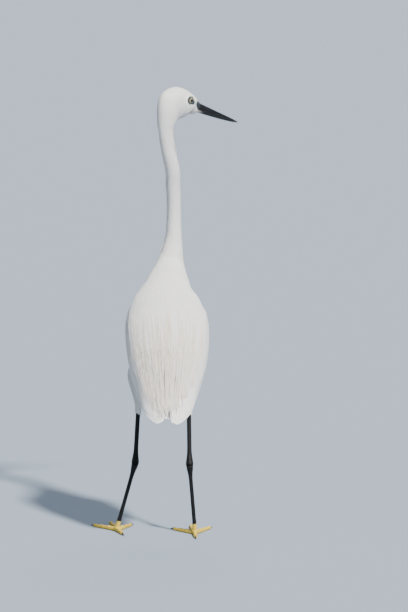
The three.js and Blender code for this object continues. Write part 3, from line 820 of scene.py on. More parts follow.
def eyelids(side, sign, material):
    """A wrinkled ring of skin round the eye, a little longer than it is high."""
    rings, sides = LID["rings"], LID["sides"]
    round_it = 360 * np.arange(rings)[:, None] / rings
    angle = np.arange(sides)[None, :] * 360.0 / sides
    thick = LID["thick"] + 0.12 * np.sin(np.radians(round_it * LID["wrinkles"]))
    reach = EYE["radius"] - LID["inset"] + thick * 1.2 * cos(angle)
    out = LID["out"] + 0.85 * thick * sin(angle) - 0.2 * cos(2 * round_it)
    along = EYE["along"] + reach * cos(round_it) * 1.04
    up = EYE["above"] + reach * sin(round_it) * 0.96
    points = on_head(along, sign * (EYE["side"] + out), up)
    faces = tube_faces(rings, sides, capped=False)
    last = (rings - 1) * sides
    faces += [(last + j, j, (j + 1) % sides, last + (j + 1) % sides) for j in range(sides)]
    faces = outwards(faces, points)
    corner = np.array([(i // sides / rings, i % sides / sides) for face in faces for i in face])
    ones = np.ones(rings * sides)
    masks = {"bare": ones, "dark": ones, "gape": ones * 0}
    new_piece(f"eyelids_{side}", points, faces, material, {"vane": corner}, masks)


# The bill

def bill_depth(t):
    """Depth of the whole bill at a share of its length, in millimetres."""
    return BILL["depth"] * (0.05 + 0.95 * (1 - t) ** 0.64)


def bill_width(t):
    """Half the bill's width at a share of its length, in millimetres."""
    return BILL["width"] / 2 * (0.05 + 0.95 * (1 - t) ** 0.75)


def mandible(name, direction, share, material):
    """Half of the bill: direction is 1 for the upper half and -1 for the lower one."""
    start = BILL["base"] - 2.5
    end = BILL["base"] + BILL["length"] * (1 if direction > 0 else 0.975)
    groove_depth = 0.55 if direction > 0 else 0.4 * 0.55

    def rim(t, angle):
        t = t**0.92
        c, s = cos(angle), sin(angle)
        height = np.clip(c, 0, None) ** 0.75 * bill_depth(t) * share
        groove = groove_depth * bump(np.abs(s), 0.78, 0.16) * smooth(1 - t / 0.55) * smooth(t / 0.03)
        narrow = groove * np.where(c > 0, 1, 0)
        across = np.sign(s) * (np.abs(s) ** 0.8 * bill_width(t) - narrow * np.abs(s))
        drop = BILL["mouth_line"] - 0.4 * np.sin(np.pi * t)
        return on_head(mix(start, end, t), across, drop + direction * (0.15 + height))

    def pale(t, angle, points):
        along, _, up = in_head(points)
        base = 1 - smooth((along - BILL["base"]) / 11)
        low = smooth((BILL["mouth_line"] - up - 2.2) / 2.4)
        return base * low

    piece = tube_piece(name, 90, 40, rim, material, {"pale": pale})
    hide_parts("bill_upper" if direction > 0 else "bill_lower")


def nostrils(material):
    """Long slits in the groove of the upper half, as dark seams."""
    first, last = 6.5, 15.5
    for sign, side in ((1, "left"), (-1, "right")):
        def rim(t, angle, sign=sign):
            from_base = mix(first, last, t)
            reach = np.sin(np.pi * t) ** 0.6
            out = BILL["width"] / 2 * 0.80 - 0.045 * from_base + 0.14 * reach * cos(angle)
            up = BILL["mouth_line"] + 3.4 + 0.34 * reach * sin(angle)
            return on_head(BILL["base"] + from_base, sign * out, up)

        values = {"pale": lambda t, angle, points: 0 * t}
        tube_piece(f"nostril_{side}", 16, 8, rim, material, values)


# Contour feathers of the head, neck and trunk

def eye_clear(points):
    """True where roots keep off the bare face and the eye."""
    return lore_mask(points) < 0.35


# Stations from and to, millimetres between rows and between feathers, and their length and half width
HEAD_ZONES = [
    (0.25, 4.2, 1.35, 1.0, 4.6, 0.6),
    (4.2, 8.4, 1.7, 1.15, 8.0, 0.75),
    (8.4, 11.3, 2.1, 1.3, 12.0, 0.85),
]
# Stations, how far along each one reaches, and its share
RUFFLES = [(13.55, 0.3, 1.0), (16.9, 0.45, 1.0), (15.2, 1.0, 0.3)]


def head_coat(material):
    """Short dense feathers, longer towards the nape, that leave the face bare."""
    coat = Coat("head_feathers", material, crisp=0.12)
    for start, end, row, spacing, length, width in HEAD_ZONES:
        spots = scattered(start, end, row, spacing)
        spots = spots[eye_clear(skin(spots[:, 0], spots[:, 1]))]
        number = len(spots)
        station, angle = spots.T
        long = length * rng.uniform(0.8, 1.2, number)
        tip = station + long * stations_per_mm(station, angle)
        turn = rng.normal(0, 2.0, number) * np.clip(station / 3, 0.3, 1)
        half = width * rng.uniform(0.8, 1.15, number) * degrees_per_mm(station, angle)
        lift = rng.uniform(0.1, 0.3, number)
        coat.lay(on_face, (station, angle), (tip, angle + turn), np.minimum(half, 14), (-0.45, lift),
                 rings=4, shape=pointed_vane, thick=0.22, tint=rng.uniform(0, 0.14, number))
    coat.finish()


def neck_coat(material):
    """Fine hair-like feathers down the neck, ruffled here and there on its left."""
    coat = Coat("neck_feathers", material, crisp=0.15)
    station, angle = scattered(11.1, 18.9, 2.7, 1.45).T
    number = len(station)
    rate = stations_per_mm(station, angle)
    long = mix(13, 19, smooth((station - 12) / 6)) * rng.uniform(0.8, 1.25, number)
    ruffled = sum(share * bump(station, at, reach) for at, reach, share in RUFFLES)
    ruffled = ruffled * bump(sided(angle), 80, 40)
    lift = rng.uniform(0.1, 0.32, number) + 4.5 * ruffled * rng.uniform(0, 1, number) ** 3
    turn = rng.normal(0, 2.5, number) + 16 * ruffled * rng.normal(0, 1, number)
    half = 0.95 * rng.uniform(0.75, 1.2, number) * degrees_per_mm(station, angle)
    coat.lay(skin, (station, angle), (station + long * rate, angle + turn), half, (-0.7, lift),
             rings=4, shape=pointed_vane, thick=0.25, tint=rng.uniform(0, 0.14, number))
    coat.finish()


def breast_coat(material):
    """Feathers of the breast, belly and flanks, on the side that the wings leave open."""
    coat = Coat("breast_feathers", material, crisp=0.2)
    spots = scattered(18.1, 25.4, 4.6, 3.0)
    station, angle = spots.T
    off_back = np.abs(sided(angle))
    keep = off_back > mix(0, 96, smooth((station - 18.6) / 1.2))
    station, angle = spots[keep].T
    number = len(station)
    rate = stations_per_mm(station, angle)
    long = mix(20, 26, smooth((station - 18) / 3)) * rng.uniform(0.8, 1.2, number)
    half = 2.2 * rng.uniform(0.8, 1.2, number) * degrees_per_mm(station, angle)
    tip = station + long * rate, angle + rng.normal(0, 2.0, number)
    lift = rng.uniform(0.3, 0.8, number)
    coat.lay(skin, (station, angle), tip, half, (-1.2, lift), rings=5, shape=pointed_vane, thick=0.3,
             camber=0.2, tint=rng.uniform(0, 0.14, number))
    coat.finish()


def breast_plumes(material):
    """Long loose plumes hanging from the lower foreneck."""
    coat = Coat("breast_plumes", material, crisp=0.35)
    number = 260
    angle = 180 + rng.normal(0, 26, number)
    station = rng.uniform(16.8, 18.6, number)
    reach = rng.uniform(1.2, 2.6, number)
    half = rng.uniform(0.5, 1.1, number) * degrees_per_mm(station + reach * 0.5, angle)
    close = 180 + (angle - 180) * 0.75 + rng.normal(0, 2, number)
    lift = rng.uniform(0.8, 3.2, number)
    coat.lay(skin, (station, angle), (station + reach, close), half, (-1.2, lift), rings=7,
             shape=pointed_vane, thick=0.4, tint=rng.uniform(0, 0.35, number))
    coat.finish()


# The wings

WING_FLOOR = 1.6
WING_BED = {"columns": 70, "rows": 40, "under": 0.7, "into_body": 1.4}
WING_TIP = {1: LAST - 0.08, -1: LAST}


def wing_angle(along, down):
    """Angle on the skin of places on a wing, from its inner edge on the back to its lower edge."""
    top = mix(9, 3.2, smooth(along * 3))
    low = 96 + 24 * smooth(along * 6) - 34 * smooth((along - 0.45) * 1.9)
    rounding = np.clip(1 - np.abs(2 * np.clip(along, 0, 1) - 1) ** 5, 0, 1) ** 0.3
    return mix(top, low, 0.5) + (low - top) / 2 * (2 * down - 1) * mix(0.45, 1, rounding)


def wing_rise(along, down):
    """Height of the wing's feathered surface over its floor."""
    whole = 6.4 * mix(0.2, 1, smooth(along * 6)) - 3.6 * smooth((along - 0.35) * 1.6)
    edge = smooth(np.minimum(down, 1 - down) * 6)
    return np.clip(whole, 0.3, None) * mix(0.22, 1, edge)


def on_wing(sign):
    """Places a wing's points: shares along and down it, and a height over its surface."""
    def on(along, down, height):
        station = mix(WING_FRONT, WING_TIP[sign], along)
        return skin(station, sign * wing_angle(along, down), WING_FLOOR + wing_rise(along, down) + height)
    return on


def wing_unwrap(sign, along, down):
    """Where a wing's feathers lie on the unwrap of the skin: in a band of its own."""
    return sign * wing_angle(along, down) / 360, along * 0.27 + 0.73


def wing_bed(sign, side, material):
    """The wing under its feathers: shoulder, forearm and down, as a closed shell."""
    along = mix(0.005, 0.8, np.linspace(0, 1, WING_BED["columns"] + 1))[:, None]
    down = np.linspace(0.01, 0.985, WING_BED["rows"] + 1)[None, :]
    station = mix(WING_FRONT, WING_TIP[sign], along) + 0 * down
    angle = sign * wing_angle(along, down)
    upper = skin(station, angle, WING_FLOOR + wing_rise(along, down) - WING_BED["under"])
    lower = skin(station, angle, WING_FLOOR - WING_BED["into_body"])
    shell_piece(f"wing_bed_{side}", upper, lower, material)


# Of each tier: how many, places of the roots and tips along and down the wing from the innermost
# to the outermost, heights at root and tip, half width as a share of the spacing, how far the tips
# vary, tint and outline.
WING_TIERS = [
    {"count": 10, "root": (0.50, 0.56), "tip": (1.0, 0.975), "root_down": (0.16, 0.86),
     "tip_down": (0.12, 0.82), "lift": (-2.2, -0.3), "wide": 1.7, "uneven": 0.006, "tint": 0.06,
     "shape": rounded_vane},
    {"count": 15, "root": (0.36, 0.36), "tip": (0.96, 0.87), "root_down": (0.05, 0.97),
     "tip_down": (0.1, 0.96), "lift": (-1.6, 0.2), "wide": 1.3, "uneven": 0.012, "tint": 0.05,
     "shape": rounded_vane},
    {"count": 34, "root": (0.2, 0.18), "tip": (0.68, 0.56), "root_down": (0.04, 0.97),
     "tip_down": (0.1, 0.97), "lift": (-1.5, 0.1), "wide": 1.7, "uneven": 0.07, "tint": 0.04,
     "shape": pointed_vane},
    {"count": 40, "root": (0.1, 0.1), "tip": (0.5, 0.4), "root_down": (0.04, 0.97),
     "tip_down": (0.08, 0.97), "lift": (-1.4, 0.2), "wide": 1.7, "uneven": 0.07, "tint": 0.03,
     "shape": pointed_vane},
]


def wing_tier(coat, sign, tier):
    """One tier of long feathers, each lying over the next one further down the wing."""
    count = tier["count"]
    share = np.linspace(0, 1, count)
    from_along = mix(*tier["root"], share)
    from_down, to_down = mix(*tier["root_down"], share), mix(*tier["tip_down"], share)
    half = tier["wide"] * (tier["root_down"][1] - tier["root_down"][0]) / (count - 1) * np.ones(count)
    middle = mix(from_down, to_down, 0.5)[:, None, None]
    surface = on_wing(sign)

    def on(along, down, height):
        slope = (down - middle) / half[:, None, None]
        return surface(along, np.clip(down, 0, 1.02), height + 0.35 * slope)

    shortened = 0.05 * (2 * share - 0.7) ** 2
    reach = mix(*tier["tip"], share) - shortened + tier["uneven"] * rng.uniform(-1, 1, count)
    coat.lay(on, (from_along, from_down), (reach, to_down), half, tier["lift"], rings=12,
             shape=tier["shape"], thick=0.4, bend=0.012, camber=0.1,
             tint=tier["tint"] + rng.uniform(-0.04, 0.06, count),
             unwrap=wing_unwrap(sign, from_along, from_down))


def wing_scales(coat, sign):
    """Small silky coverts over the shoulder and the front third of the wing."""
    rows, count = 20, 44
    surface = on_wing(sign)

    def on(along, down, height):
        return surface(along, np.clip(down, 0, 1.01), height)

    for row in range(rows):
        along = mix(0.0, 0.36, row / (rows - 1))
        share = (np.arange(count) + 0.5 * (row % 2)) / count
        down = mix(0.03, 0.97, share) + rng.uniform(-0.008, 0.008, count)
        root = along + rng.uniform(-0.008, 0.008, count) - 0.03
        half = 0.018 * rng.uniform(0.85, 1.15, count) * mix(1.25, 1, smooth(along * 8))
        reach = root + mix(0.1, 0.16, row / rows) * rng.uniform(0.8, 1.25, count)
        lift = 0.15 + 0.25 * rng.uniform(0, 1, count)
        coat.lay(on, (root, down), (reach, down + 0.004), half, (-1.2, lift), rings=5, shape=pointed_vane,
                 thick=0.3, tint=rng.uniform(0, 0.1, count), unwrap=wing_unwrap(sign, root, down))


def wings(material, bed):
    """Both folded wings: tiers of long feathers, small coverts in front, and a bed under them."""
    for sign, side in ((1, "left"), (-1, "right")):
        coat = Coat(f"wing_feathers_{side}", material, crisp=0.22)
        for tier in WING_TIERS:
            wing_tier(coat, sign, tier)
        wing_scales(coat, sign)
        piece = coat.finish()
        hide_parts(f"wing_{side}")
        wing_bed(sign, side, bed)


# The tail

TAIL = {"count": 12, "root": RUMP + 0.1, "tip": LAST - 0.6, "half": 0.2}
TAIL_COVERTS = {"long": 22, "half": 2.2, "widest": 18, "end": LAST - 0.8}


def tail(material):
    """The tail's own feathers, side by side under a low arch, and the coverts over their roots."""
    coat = Coat("tail_feathers", material)
    count = TAIL["count"]
    spot = 2 * np.linspace(0, 1, count) - 1
    stacked = 2.2 * (1 - np.abs(spot[:, None, None]))

    def on(station, across, height):
        s = section(station)
        arch = (0.34 - 0.3 * across**2) * s[..., TO_BACK] + (height + stacked) * MM
        side = s[..., LEFT] * (across * s[..., WIDTH])[..., None]
        return s[..., CENTRE] + side + s[..., BACK] * arch[..., None]

    coat.lay(on, (np.full(count, TAIL["root"]), spot * 0.5), (TAIL["tip"] - 0.4 * spot**2, spot * 0.8),
             TAIL["half"], (0, 0), rings=12, thick=0.6, tint=0.1,
             unwrap=(spot * 0.05, np.full(count, 0.95)))
    station, angle = scattered(24.3, 25.3, 3.6, 3.0).T
    number = len(station)
    long = TAIL_COVERTS["long"] * rng.uniform(0.7, 1.2, number)
    half = TAIL_COVERTS["half"] * degrees_per_mm(station, angle)
    tip = np.minimum(station + long * stations_per_mm(station, angle), TAIL_COVERTS["end"])
    coat.lay(skin, (station, angle), (tip, angle), np.minimum(half, TAIL_COVERTS["widest"]), (-1.8, 0.0),
             rings=5, shape=pointed_vane, thick=0.3, tint=0.05)
    piece = coat.finish()
    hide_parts("tail")


# The mantle and its long plumes

MANTLE_CORE = {"from": 18.3, "to": 23.6, "columns": 50, "rows": 40}
# Stations of the roots and of the longest tips of each row of scapulars, and how many it has
SCAPULAR_ROWS = [(20.2, 23.2, 26), (20.9, 24.1, 26), (21.5, 24.8, 24)]


def mantle_bed(station):
    """Height of the mantle's surface over the skin."""
    return 0.7 + 8.0 * smooth((station - 18.9) * 0.72) - 2.4 * smooth((station - 22) / 3)


def mantle_half(station):
    """Half of the mantle's width, in degrees."""
    return mix(40, 57, np.sin(np.pi * np.clip((station - 18.9) / 5.6, 0, 1)))


def on_mantle(station, angle, height):
    """Over the mantle: the surface sinks to the wings towards its sides."""
    side = np.abs(angle) / (mantle_half(station) + 14)
    return skin(station, angle, mantle_bed(station) + 1.6 * (1 - smooth(side)) + height)


def mantle_core(material):
    """The shoulders and back under the mantle's plumes, as a closed shell."""
    start, end = MANTLE_CORE["from"], MANTLE_CORE["to"]
    station = mix(start, end, np.linspace(0, 1, MANTLE_CORE["columns"] + 1))[:, None]
    share = np.linspace(-1, 1, MANTLE_CORE["rows"] + 1)[None, :]
    angle = share * (mantle_half(station) + 4)
    fade = smooth((1 - np.abs(share)) * 5) * smooth((end - station) / 1.4)
    rise = (mantle_bed(station) + 1.2 * (1 - share**2) - 0.5) * mix(0.72, 1, fade)
    upper = skin(station + 0 * share, angle, rise)
    lower = skin(station + 0 * share, angle, -1.0 + 0 * angle)
    shell_piece("mantle_down", upper, lower, material)


def mantle(material):
    """Pointed silky feathers from the neck's root over the shoulders."""
    coat = Coat("mantle_feathers", material, crisp=0.12)
    station, angle = scattered(17.9, 22.3, 3.6, 2.2, (-64, 64)).T
    number = len(station)
    long = mix(20, 36, smooth((station - 18.5) / 3)) * rng.uniform(0.85, 1.15, number)
    half = mix(1.5, 2.1, smooth((station - 18.5) / 2)) * rng.uniform(0.85, 1.15, number)
    half = half * degrees_per_mm(station, angle)
    tip = station + long * stations_per_mm(station, angle), angle * 0.99
    lift = rng.uniform(0.05, 0.3, number)
    coat.lay(on_mantle, (station, angle), tip, half, (-1.0, lift), rings=6, shape=pointed_vane,
             thick=0.25, tint=rng.uniform(0, 0.12, number))
    coat.finish()


def scapulars(material):
    """Long pointed feathers at each side of the mantle, reaching down over the wing."""
    coat = Coat("scapulars", material)
    for row, (start, end, count) in enumerate(SCAPULAR_ROWS):
        spot = np.linspace(-1, 1, count) + rng.uniform(-0.02, 0.02, count)
        angle = spot * (mantle_half(start) + 3)
        tip = end - 0.25 * np.abs(spot) + rng.uniform(-0.15, 0.15, count)
        half = 4.2 * degrees_per_mm(np.full(count, start + 1), angle)
        coat.lay(on_mantle, (np.full(count, start), angle), (tip, angle * 0.9), half,
                 (-1.4, 0.4 - 0.35 * row), rings=9, shape=pointed_vane, thick=0.5, camber=0.25,
                 tint=rng.uniform(0.05, 0.25, count))
    coat.finish()


def aigrettes(material):
    """The loose long plumes of the back: each a shaft with a brush of long separate barbs."""
    coat = Coat("aigrettes", material, crisp=0.5)
    plumes = 58
    spot = np.linspace(-1, 1, plumes)
    order = rng.permutation(plumes)
    start = 20.7 + 1.3 * rng.uniform(0, 1, plumes)
    end = 26.1 - 1.2 * np.abs(spot) ** 1.7 + 0.4 * rng.uniform(-1, 1, plumes)
    angle = spot * 55
    close = angle * 0.96 + rng.normal(0, 1.6, plumes)
    tint = 0.5 + 0.5 * rng.uniform(0, 1, plumes) - 0.3 * np.abs(spot)
    lift = 0.3 + 0.8 * order / plumes
    half = 0.35 * degrees_per_mm(start + 1, angle)
    coat.lay(on_mantle, (start, angle), (end, close), half, (-0.6, lift), rings=14, shape=hair_vane,
             thick=0.4, tint=tint * 0.7)
    lay_barbs(coat, start, end, angle, close, tint, lift)
    piece = coat.finish()
    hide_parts("mantle_plumes")


def lay_barbs(coat, start, end, angle, close, tint, lift):
    """Long separate barbs along both sides of each plume's shaft."""
    plumes, barbs = len(start), 34
    t = np.tile(np.linspace(0.02, 0.9, barbs), plumes)
    which = np.repeat(np.arange(plumes), barbs)
    side = np.tile(np.where(np.arange(barbs) % 2 == 0, 1.0, -1.0), plumes)
    from_station = mix(start[which], end[which], t)
    from_angle = mix(angle[which], close[which], t)
    length = rng.uniform(0.9, 1.6, len(t))
    to_station = np.minimum(from_station + length, end[which] + 0.2)
    drift = side * rng.uniform(0.8, 3.0, len(t)) * degrees_per_mm(from_station, from_angle)
    to_share = (to_station - start[which]) / (end - start)[which]
    to_angle = mix(angle[which], close[which], to_share) + drift
    half = rng.uniform(0.22, 0.42, len(t)) * degrees_per_mm(from_station, from_angle)
    heights = lift[which] * t - 0.2, lift[which] + rng.uniform(-0.3, 0.3, len(t))
    coat.lay(on_mantle, (from_station, from_angle), (to_station, to_angle), half, heights, rings=6,
             shape=hair_vane, thick=0.25, bend=-0.25 * drift,
             tint=tint[which] + rng.uniform(-0.35, 0.35, len(t)), ends=1.0)


# The legs

LEGS = {
    "left": {"knee": (35, 26, 248), "ankle": (43.5, 6, 99), "foot": (69, 18, 6),
             "toe_turn": 10, "thigh": 22},
    "right": {"knee": (-31, 16, 250), "ankle": (-33, -22, 101), "foot": (-40.5, -8, 6),
              "toe_turn": -6, "thigh": 18},
}
TOES = {
    "middle": {"turn": 0, "length": 60, "claw": 9},
    "inner": {"turn": -34, "length": 46, "claw": 8.5},
    "outer": {"turn": 31, "length": 50, "claw": 8},
    "hind": {"turn": 184, "length": 31, "claw": 12},
}
FEATHERED = 0.53
THIGH_END = 4.4
THIGH_UNWRAP = {"left": 0.35, "right": 0.68}
YELLOW_FROM, YELLOW_OVER = 0.84, 0.12


class Limb:
    """A straight part of a leg, with its own directions."""

    def __init__(self, start, end):
        self.start, self.end = start, end
        self.length = np.linalg.norm(end - start) / MM
        self.along = unit(end - start)
        self.across = unit(np.cross(self.along, np.array([0.0, 1.0, 0.0])))
        self.over = np.cross(self.across, self.along)

    def at(self, t, angle, wide, deep):
        """Points by share of the length and angle, with half widths in millimetres."""
        t, angle, wide, deep = np.broadcast_arrays(t, angle, wide, deep)
        middle = self.start + (self.end - self.start) * t[..., None]
        side = self.across * (wide * sin(angle))[..., None] + self.over * (deep * cos(angle))[..., None]
        return middle + side * MM


def leg_points(side):
    """The knee, the ankle and the foot's root."""
    leg = LEGS[side]
    return [place(*leg[key]) + SHIFT for key in ("knee", "ankle", "foot")]


def thigh(side, skin_material, feather_material):
    """The feathered thigh: a core of skin under loose pointed feathers."""
    knee, ankle, _ = leg_points(side)
    size = LEGS[side]["thigh"]
    limb = Limb(knee, mix(knee, ankle, FEATHERED))

    def radius(t):
        dome = np.clip(1 - np.clip(1 - t / 0.5, 0, 1) ** 2, 0, 1) ** 0.8
        return mix(size, THIGH_END, smooth((t - 0.1) * 1.15)) * mix(0.1, 1, dome)

    def core(t, angle):
        return limb.at(t, angle, radius(t) - 1.2, radius(t) * 1.15 - 1.2)

    def on(share, around, height):
        r = radius(np.clip(share, 0, 1)) + height
        return limb.at(share, around, r, r * 1.15 + 0 * height)

    tube_piece(f"thigh_skin_{side}", 30, 28, core, skin_material)
    coat = Coat(f"thigh_feathers_{side}", feather_material)
    t, angle = thigh_roots(radius)
    number = len(t)
    reach = t + rng.uniform(0.16, 0.3, number) * (20 / size)
    reach = np.minimum(reach, rng.uniform(0.95, 1.04, number))
    half = rng.uniform(0.9, 1.6, number) * 180 / math.pi / np.maximum(radius(t), 4)
    lift = rng.uniform(0.1, 1.0, number) * (1 - 0.9 * smooth((reach - 0.7) / 0.3))
    tip = reach, angle + rng.normal(0, 4, number)
    coat.lay(on, (t, angle), tip, half, (-1.1, lift), rings=5, shape=pointed_vane, thick=0.3,
             tint=rng.uniform(0, 0.14, number),
             unwrap=(angle / 360 * 0.3 + THIGH_UNWRAP[side], 0.86 + t * 0.12))
    piece = coat.finish()
    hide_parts(f"thigh_{side}")


def thigh_roots(radius):
    """Roots in staggered rings down the thigh, about as far apart on wide rings as on narrow ones."""
    spots = []
    for row, t in enumerate(np.arange(0.02, 0.97, 0.03)):
        count = int(max(14, 2 * math.pi * float(radius(t)) / 1.9))
        angle = (np.arange(count) + 0.5 * (row % 2) + rng.uniform(-0.3, 0.3, count)) * 360 / count
        spots.append(np.stack([t + rng.uniform(-0.012, 0.012, count), angle], -1))
    return np.concatenate(spots).T


def shank_radius(t):
    """Half widths across and front to back, with the swelling of the ankle at its end."""
    joint = 2.2 * bump(t, 1, 0.16)
    return 3.3 + joint, 3.4 + joint * 1.2


def yellowed(t):
    """1 where the tarsus is as yellow as the foot."""
    return smooth((t - YELLOW_FROM) / YELLOW_OVER)


def tarsus_radius(t):
    """Half widths across and front to back, with the ankle at its start."""
    joint = 2.2 * bump(t, 0, 0.12) + 0.7 * bump(t, 1, 0.1)
    return 2.9 + joint, 3.2 + joint * 1.2


def leg_bones(side, material):
    """The bare shank and tarsus."""
    knee, ankle, foot = leg_points(side)
    shank = Limb(mix(knee, ankle, FEATHERED - 0.03), ankle)
    tarsus = Limb(ankle, foot)

    def shank_rim(t, angle):
        wide, deep = shank_radius(t)
        return shank.at(t, angle, wide - 0.2, deep - 0.2)

    def tarsus_rim(t, angle):
        wide, deep = tarsus_radius(t)
        back = 0.35 * bump(sided(angle), 180, 40)
        return tarsus.at(t, angle, wide - 0.25, deep - 0.25 + back)

    black = {"yellow": lambda t, angle, points: 0 * t}
    fading = {"yellow": lambda t, angle, points: yellowed(t)}
    upper = tube_piece(f"shank_skin_{side}", 60, 24, shank_rim, material, black)
    lower = tube_piece(f"tarsus_skin_{side}", 80, 24, tarsus_rim, material, fading)
    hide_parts(f"shank_{side}")
    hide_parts(f"tarsus_{side}")
    scutes(f"tarsus_scutes_{side}", material, "leg", *tarsus_scute_points(tarsus))


def tarsus_scute_points(limb):
    """Places, facings and sizes of the plates down the front of a tarsus."""
    t = np.linspace(0.1, 0.97, 34)
    wide, deep = tarsus_radius(t)
    # The front of the leg is the side that faces -Y.
    front = 180.0 if limb.over[1] > 0 else 0.0
    spots = limb.at(t, front, wide - 0.35, deep - 0.35)
    facing = np.tile(limb.over * (1 if front == 0 else -1), (len(t), 1))
    size = np.stack([wide * 0.92, 1.62 + 0 * t, 1.1 + 0 * t], -1) * MM
    return spots, facing, np.tile(limb.along, (len(t), 1)), size, yellowed(t)


def scute_tree(material):
    """Puts a plate on every point, turned by its facing and lie and scaled by its size."""
    tree = bpy.data.node_groups.new("plates_on_points", "GeometryNodeTree")
    tree.interface.new_socket("Points", in_out="INPUT", socket_type="NodeSocketGeometry")
    tree.interface.new_socket("Plate", in_out="INPUT", socket_type="NodeSocketObject")
    tree.interface.new_socket("Plate Scale", in_out="INPUT", socket_type="NodeSocketFloat")
    tree.interface.new_socket("Plates", in_out="OUTPUT", socket_type="NodeSocketGeometry")
    new, link = tree.nodes.new, tree.links.new
    given, result = new("NodeGroupInput"), new("NodeGroupOutput")
    names = {}
    for key in ("facing", "lie", "size"):
        names[key] = new("GeometryNodeInputNamedAttribute")
        names[key].data_type = "FLOAT_VECTOR"
        names[key].inputs["Name"].default_value = key
    up = new("FunctionNodeAlignRotationToVector")
    up.axis = "Z"
    link(names["facing"].outputs[0], up.inputs["Vector"])
    along = new("FunctionNodeAlignRotationToVector")
    along.axis, along.pivot_axis = "Y", "Z"
    link(up.outputs[0], along.inputs["Rotation"])
    link(names["lie"].outputs[0], along.inputs["Vector"])
    source = new("GeometryNodeObjectInfo")
    link(given.outputs["Plate"], source.inputs["Object"])
    scale = new("ShaderNodeVectorMath")
    scale.operation = "SCALE"
    link(names["size"].outputs[0], scale.inputs[0])
    link(given.outputs["Plate Scale"], scale.inputs["Scale"])
    instances = new("GeometryNodeInstanceOnPoints")
    link(given.outputs["Points"], instances.inputs["Points"])
    link(source.outputs["Geometry"], instances.inputs["Instance"])
    link(along.outputs[0], instances.inputs["Rotation"])
    link(scale.outputs[0], instances.inputs["Scale"])
    whole = new("GeometryNodeRealizeInstances")
    finish = new("GeometryNodeSetMaterial")
    finish.inputs["Material"].default_value = material
    link(instances.outputs[0], whole.inputs[0])
    link(whole.outputs[0], finish.inputs["Geometry"])
    link(finish.outputs[0], result.inputs[0])
    return tree


def plate_template():
    """One scute: a low arched plate, a unit wide and long, closed, with its free edge raised."""
    columns, rows = 6, 4
    points = []
    for level in (0.18, -0.3):
        for i in range(columns + 1):
            for j in range(rows + 1):
                x, y = 2 * i / columns - 1, 2 * j / rows - 1
                arch = math.sqrt(max(0, 1 - (0.93 * x) ** 2)) - 1
                lip = 0.32 * smooth((y + 1) / 2 * 1.2) * (1 - abs(x) ** 4) if level > 0 else 0
                points.append((x, y * (1 - 0.18 * x * x), arch * 1.5 + level + lip))
    mesh = bpy.data.meshes.new("scute_template")
    mesh.from_pydata(points, [], outwards(shell_faces(columns, rows), np.array(points)))
    mesh.shade_smooth()
    return bpy.data.objects.new("scute_template", mesh)


def scutes(name, material, slot, spots, facing, lie, size, yellow):
    """Overlapping plates on given points, by Geometry Nodes, made one plain mesh."""
    cloud = bpy.data.meshes.new(name + "_points")
    cloud.from_pydata(spots.tolist(), [], [])
    for key, rows in (("facing", facing), ("lie", lie), ("size", size)):
        layer = cloud.attributes.new(key, "FLOAT_VECTOR", "POINT")
        layer.data.foreach_set("vector", np.asarray(rows, np.float32).ravel())
    layer = cloud.attributes.new("yellow", "FLOAT", "POINT")
    layer.data.foreach_set("value", np.asarray(yellow, np.float32))
    holder = bpy.data.objects.new(name + "_points", cloud)
    bpy.context.scene.collection.objects.link(holder)
    plate = plate_template()
    tree = scute_tree(material)
    modifier = holder.modifiers.new("plates", "NODES")
    modifier.node_group = tree
    for item in tree.interface.items_tree:
        if item.name == "Plate":
            modifier[item.identifier] = plate
        if item.name == "Plate Scale":
            modifier[item.identifier] = 1.0
    depsgraph = bpy.context.evaluated_depsgraph_get()
    mesh = bpy.data.meshes.new_from_object(holder.evaluated_get(depsgraph))
    bpy.data.objects.remove(holder)
    bpy.data.objects.remove(plate)
    piece = bpy.data.objects.new(name, mesh)
    bpy.context.scene.collection.objects.link(piece)
    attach(piece, BODY)


FOOT = {"rings": 34, "sides": 16, "pad": 4.6, "pad_up": 4.4, "voxel": 0.55}


def toe_radius(t):
    """Thickness of a toe along it, with its knuckles."""
    knuckles = bump(t, 0.36, 0.06) + bump(t, 0.66, 0.06) + bump(t, 0.93, 0.05)
    return mix(3.3, 2, t) + 0.45 * knuckles


def toe_line(side, toe):
    """The toe's start, direction and side direction on the floor."""
    sign = 1 if side == "left" else -1
    angle = (LEGS[side]["toe_turn"] + toe["turn"]) * sign
    forward = place(sin(angle), cos(angle), 0) / MM
    across = np.cross(forward, np.array([0.0, 0.0, 1.0]))
    start = place(*LEGS[side]["foot"]) + SHIFT
    start[2] = 0.0
    return start, forward, across


def toe_tube(side, toe):
    """The points of a toe as a closed tube that is flat where it meets the floor."""
    start, forward, across = toe_line(side, toe)
    t = np.linspace(0, 1, FOOT["rings"])[:, None]
    angle = np.linspace(0, 360, FOOT["sides"], endpoint=False)[None, :]
    r = toe_radius(t)
    spine = start + forward * (toe["length"] * MM * t[..., None])
    points = spine + across * (r * sin(angle) * MM)[..., None]
    points[..., 2] = np.maximum((0.8 * r + r * cos(angle)) * MM, 0)
    return points.reshape(-1, 3)


def toe_top(side, toe):
    """Places of the scutes along the top of a toe, the toe's direction and its radius at each."""
    start, forward, _ = toe_line(side, toe)
    share = np.arange(0.1, 0.99, 2.6 / toe["length"])
    radius = toe_radius(share)
    spots = start + forward * (toe["length"] * MM * share[:, None])
    spots[:, 2] = (1.8 * radius - 0.35) * MM
    return spots, np.tile(forward, (len(share), 1)), radius


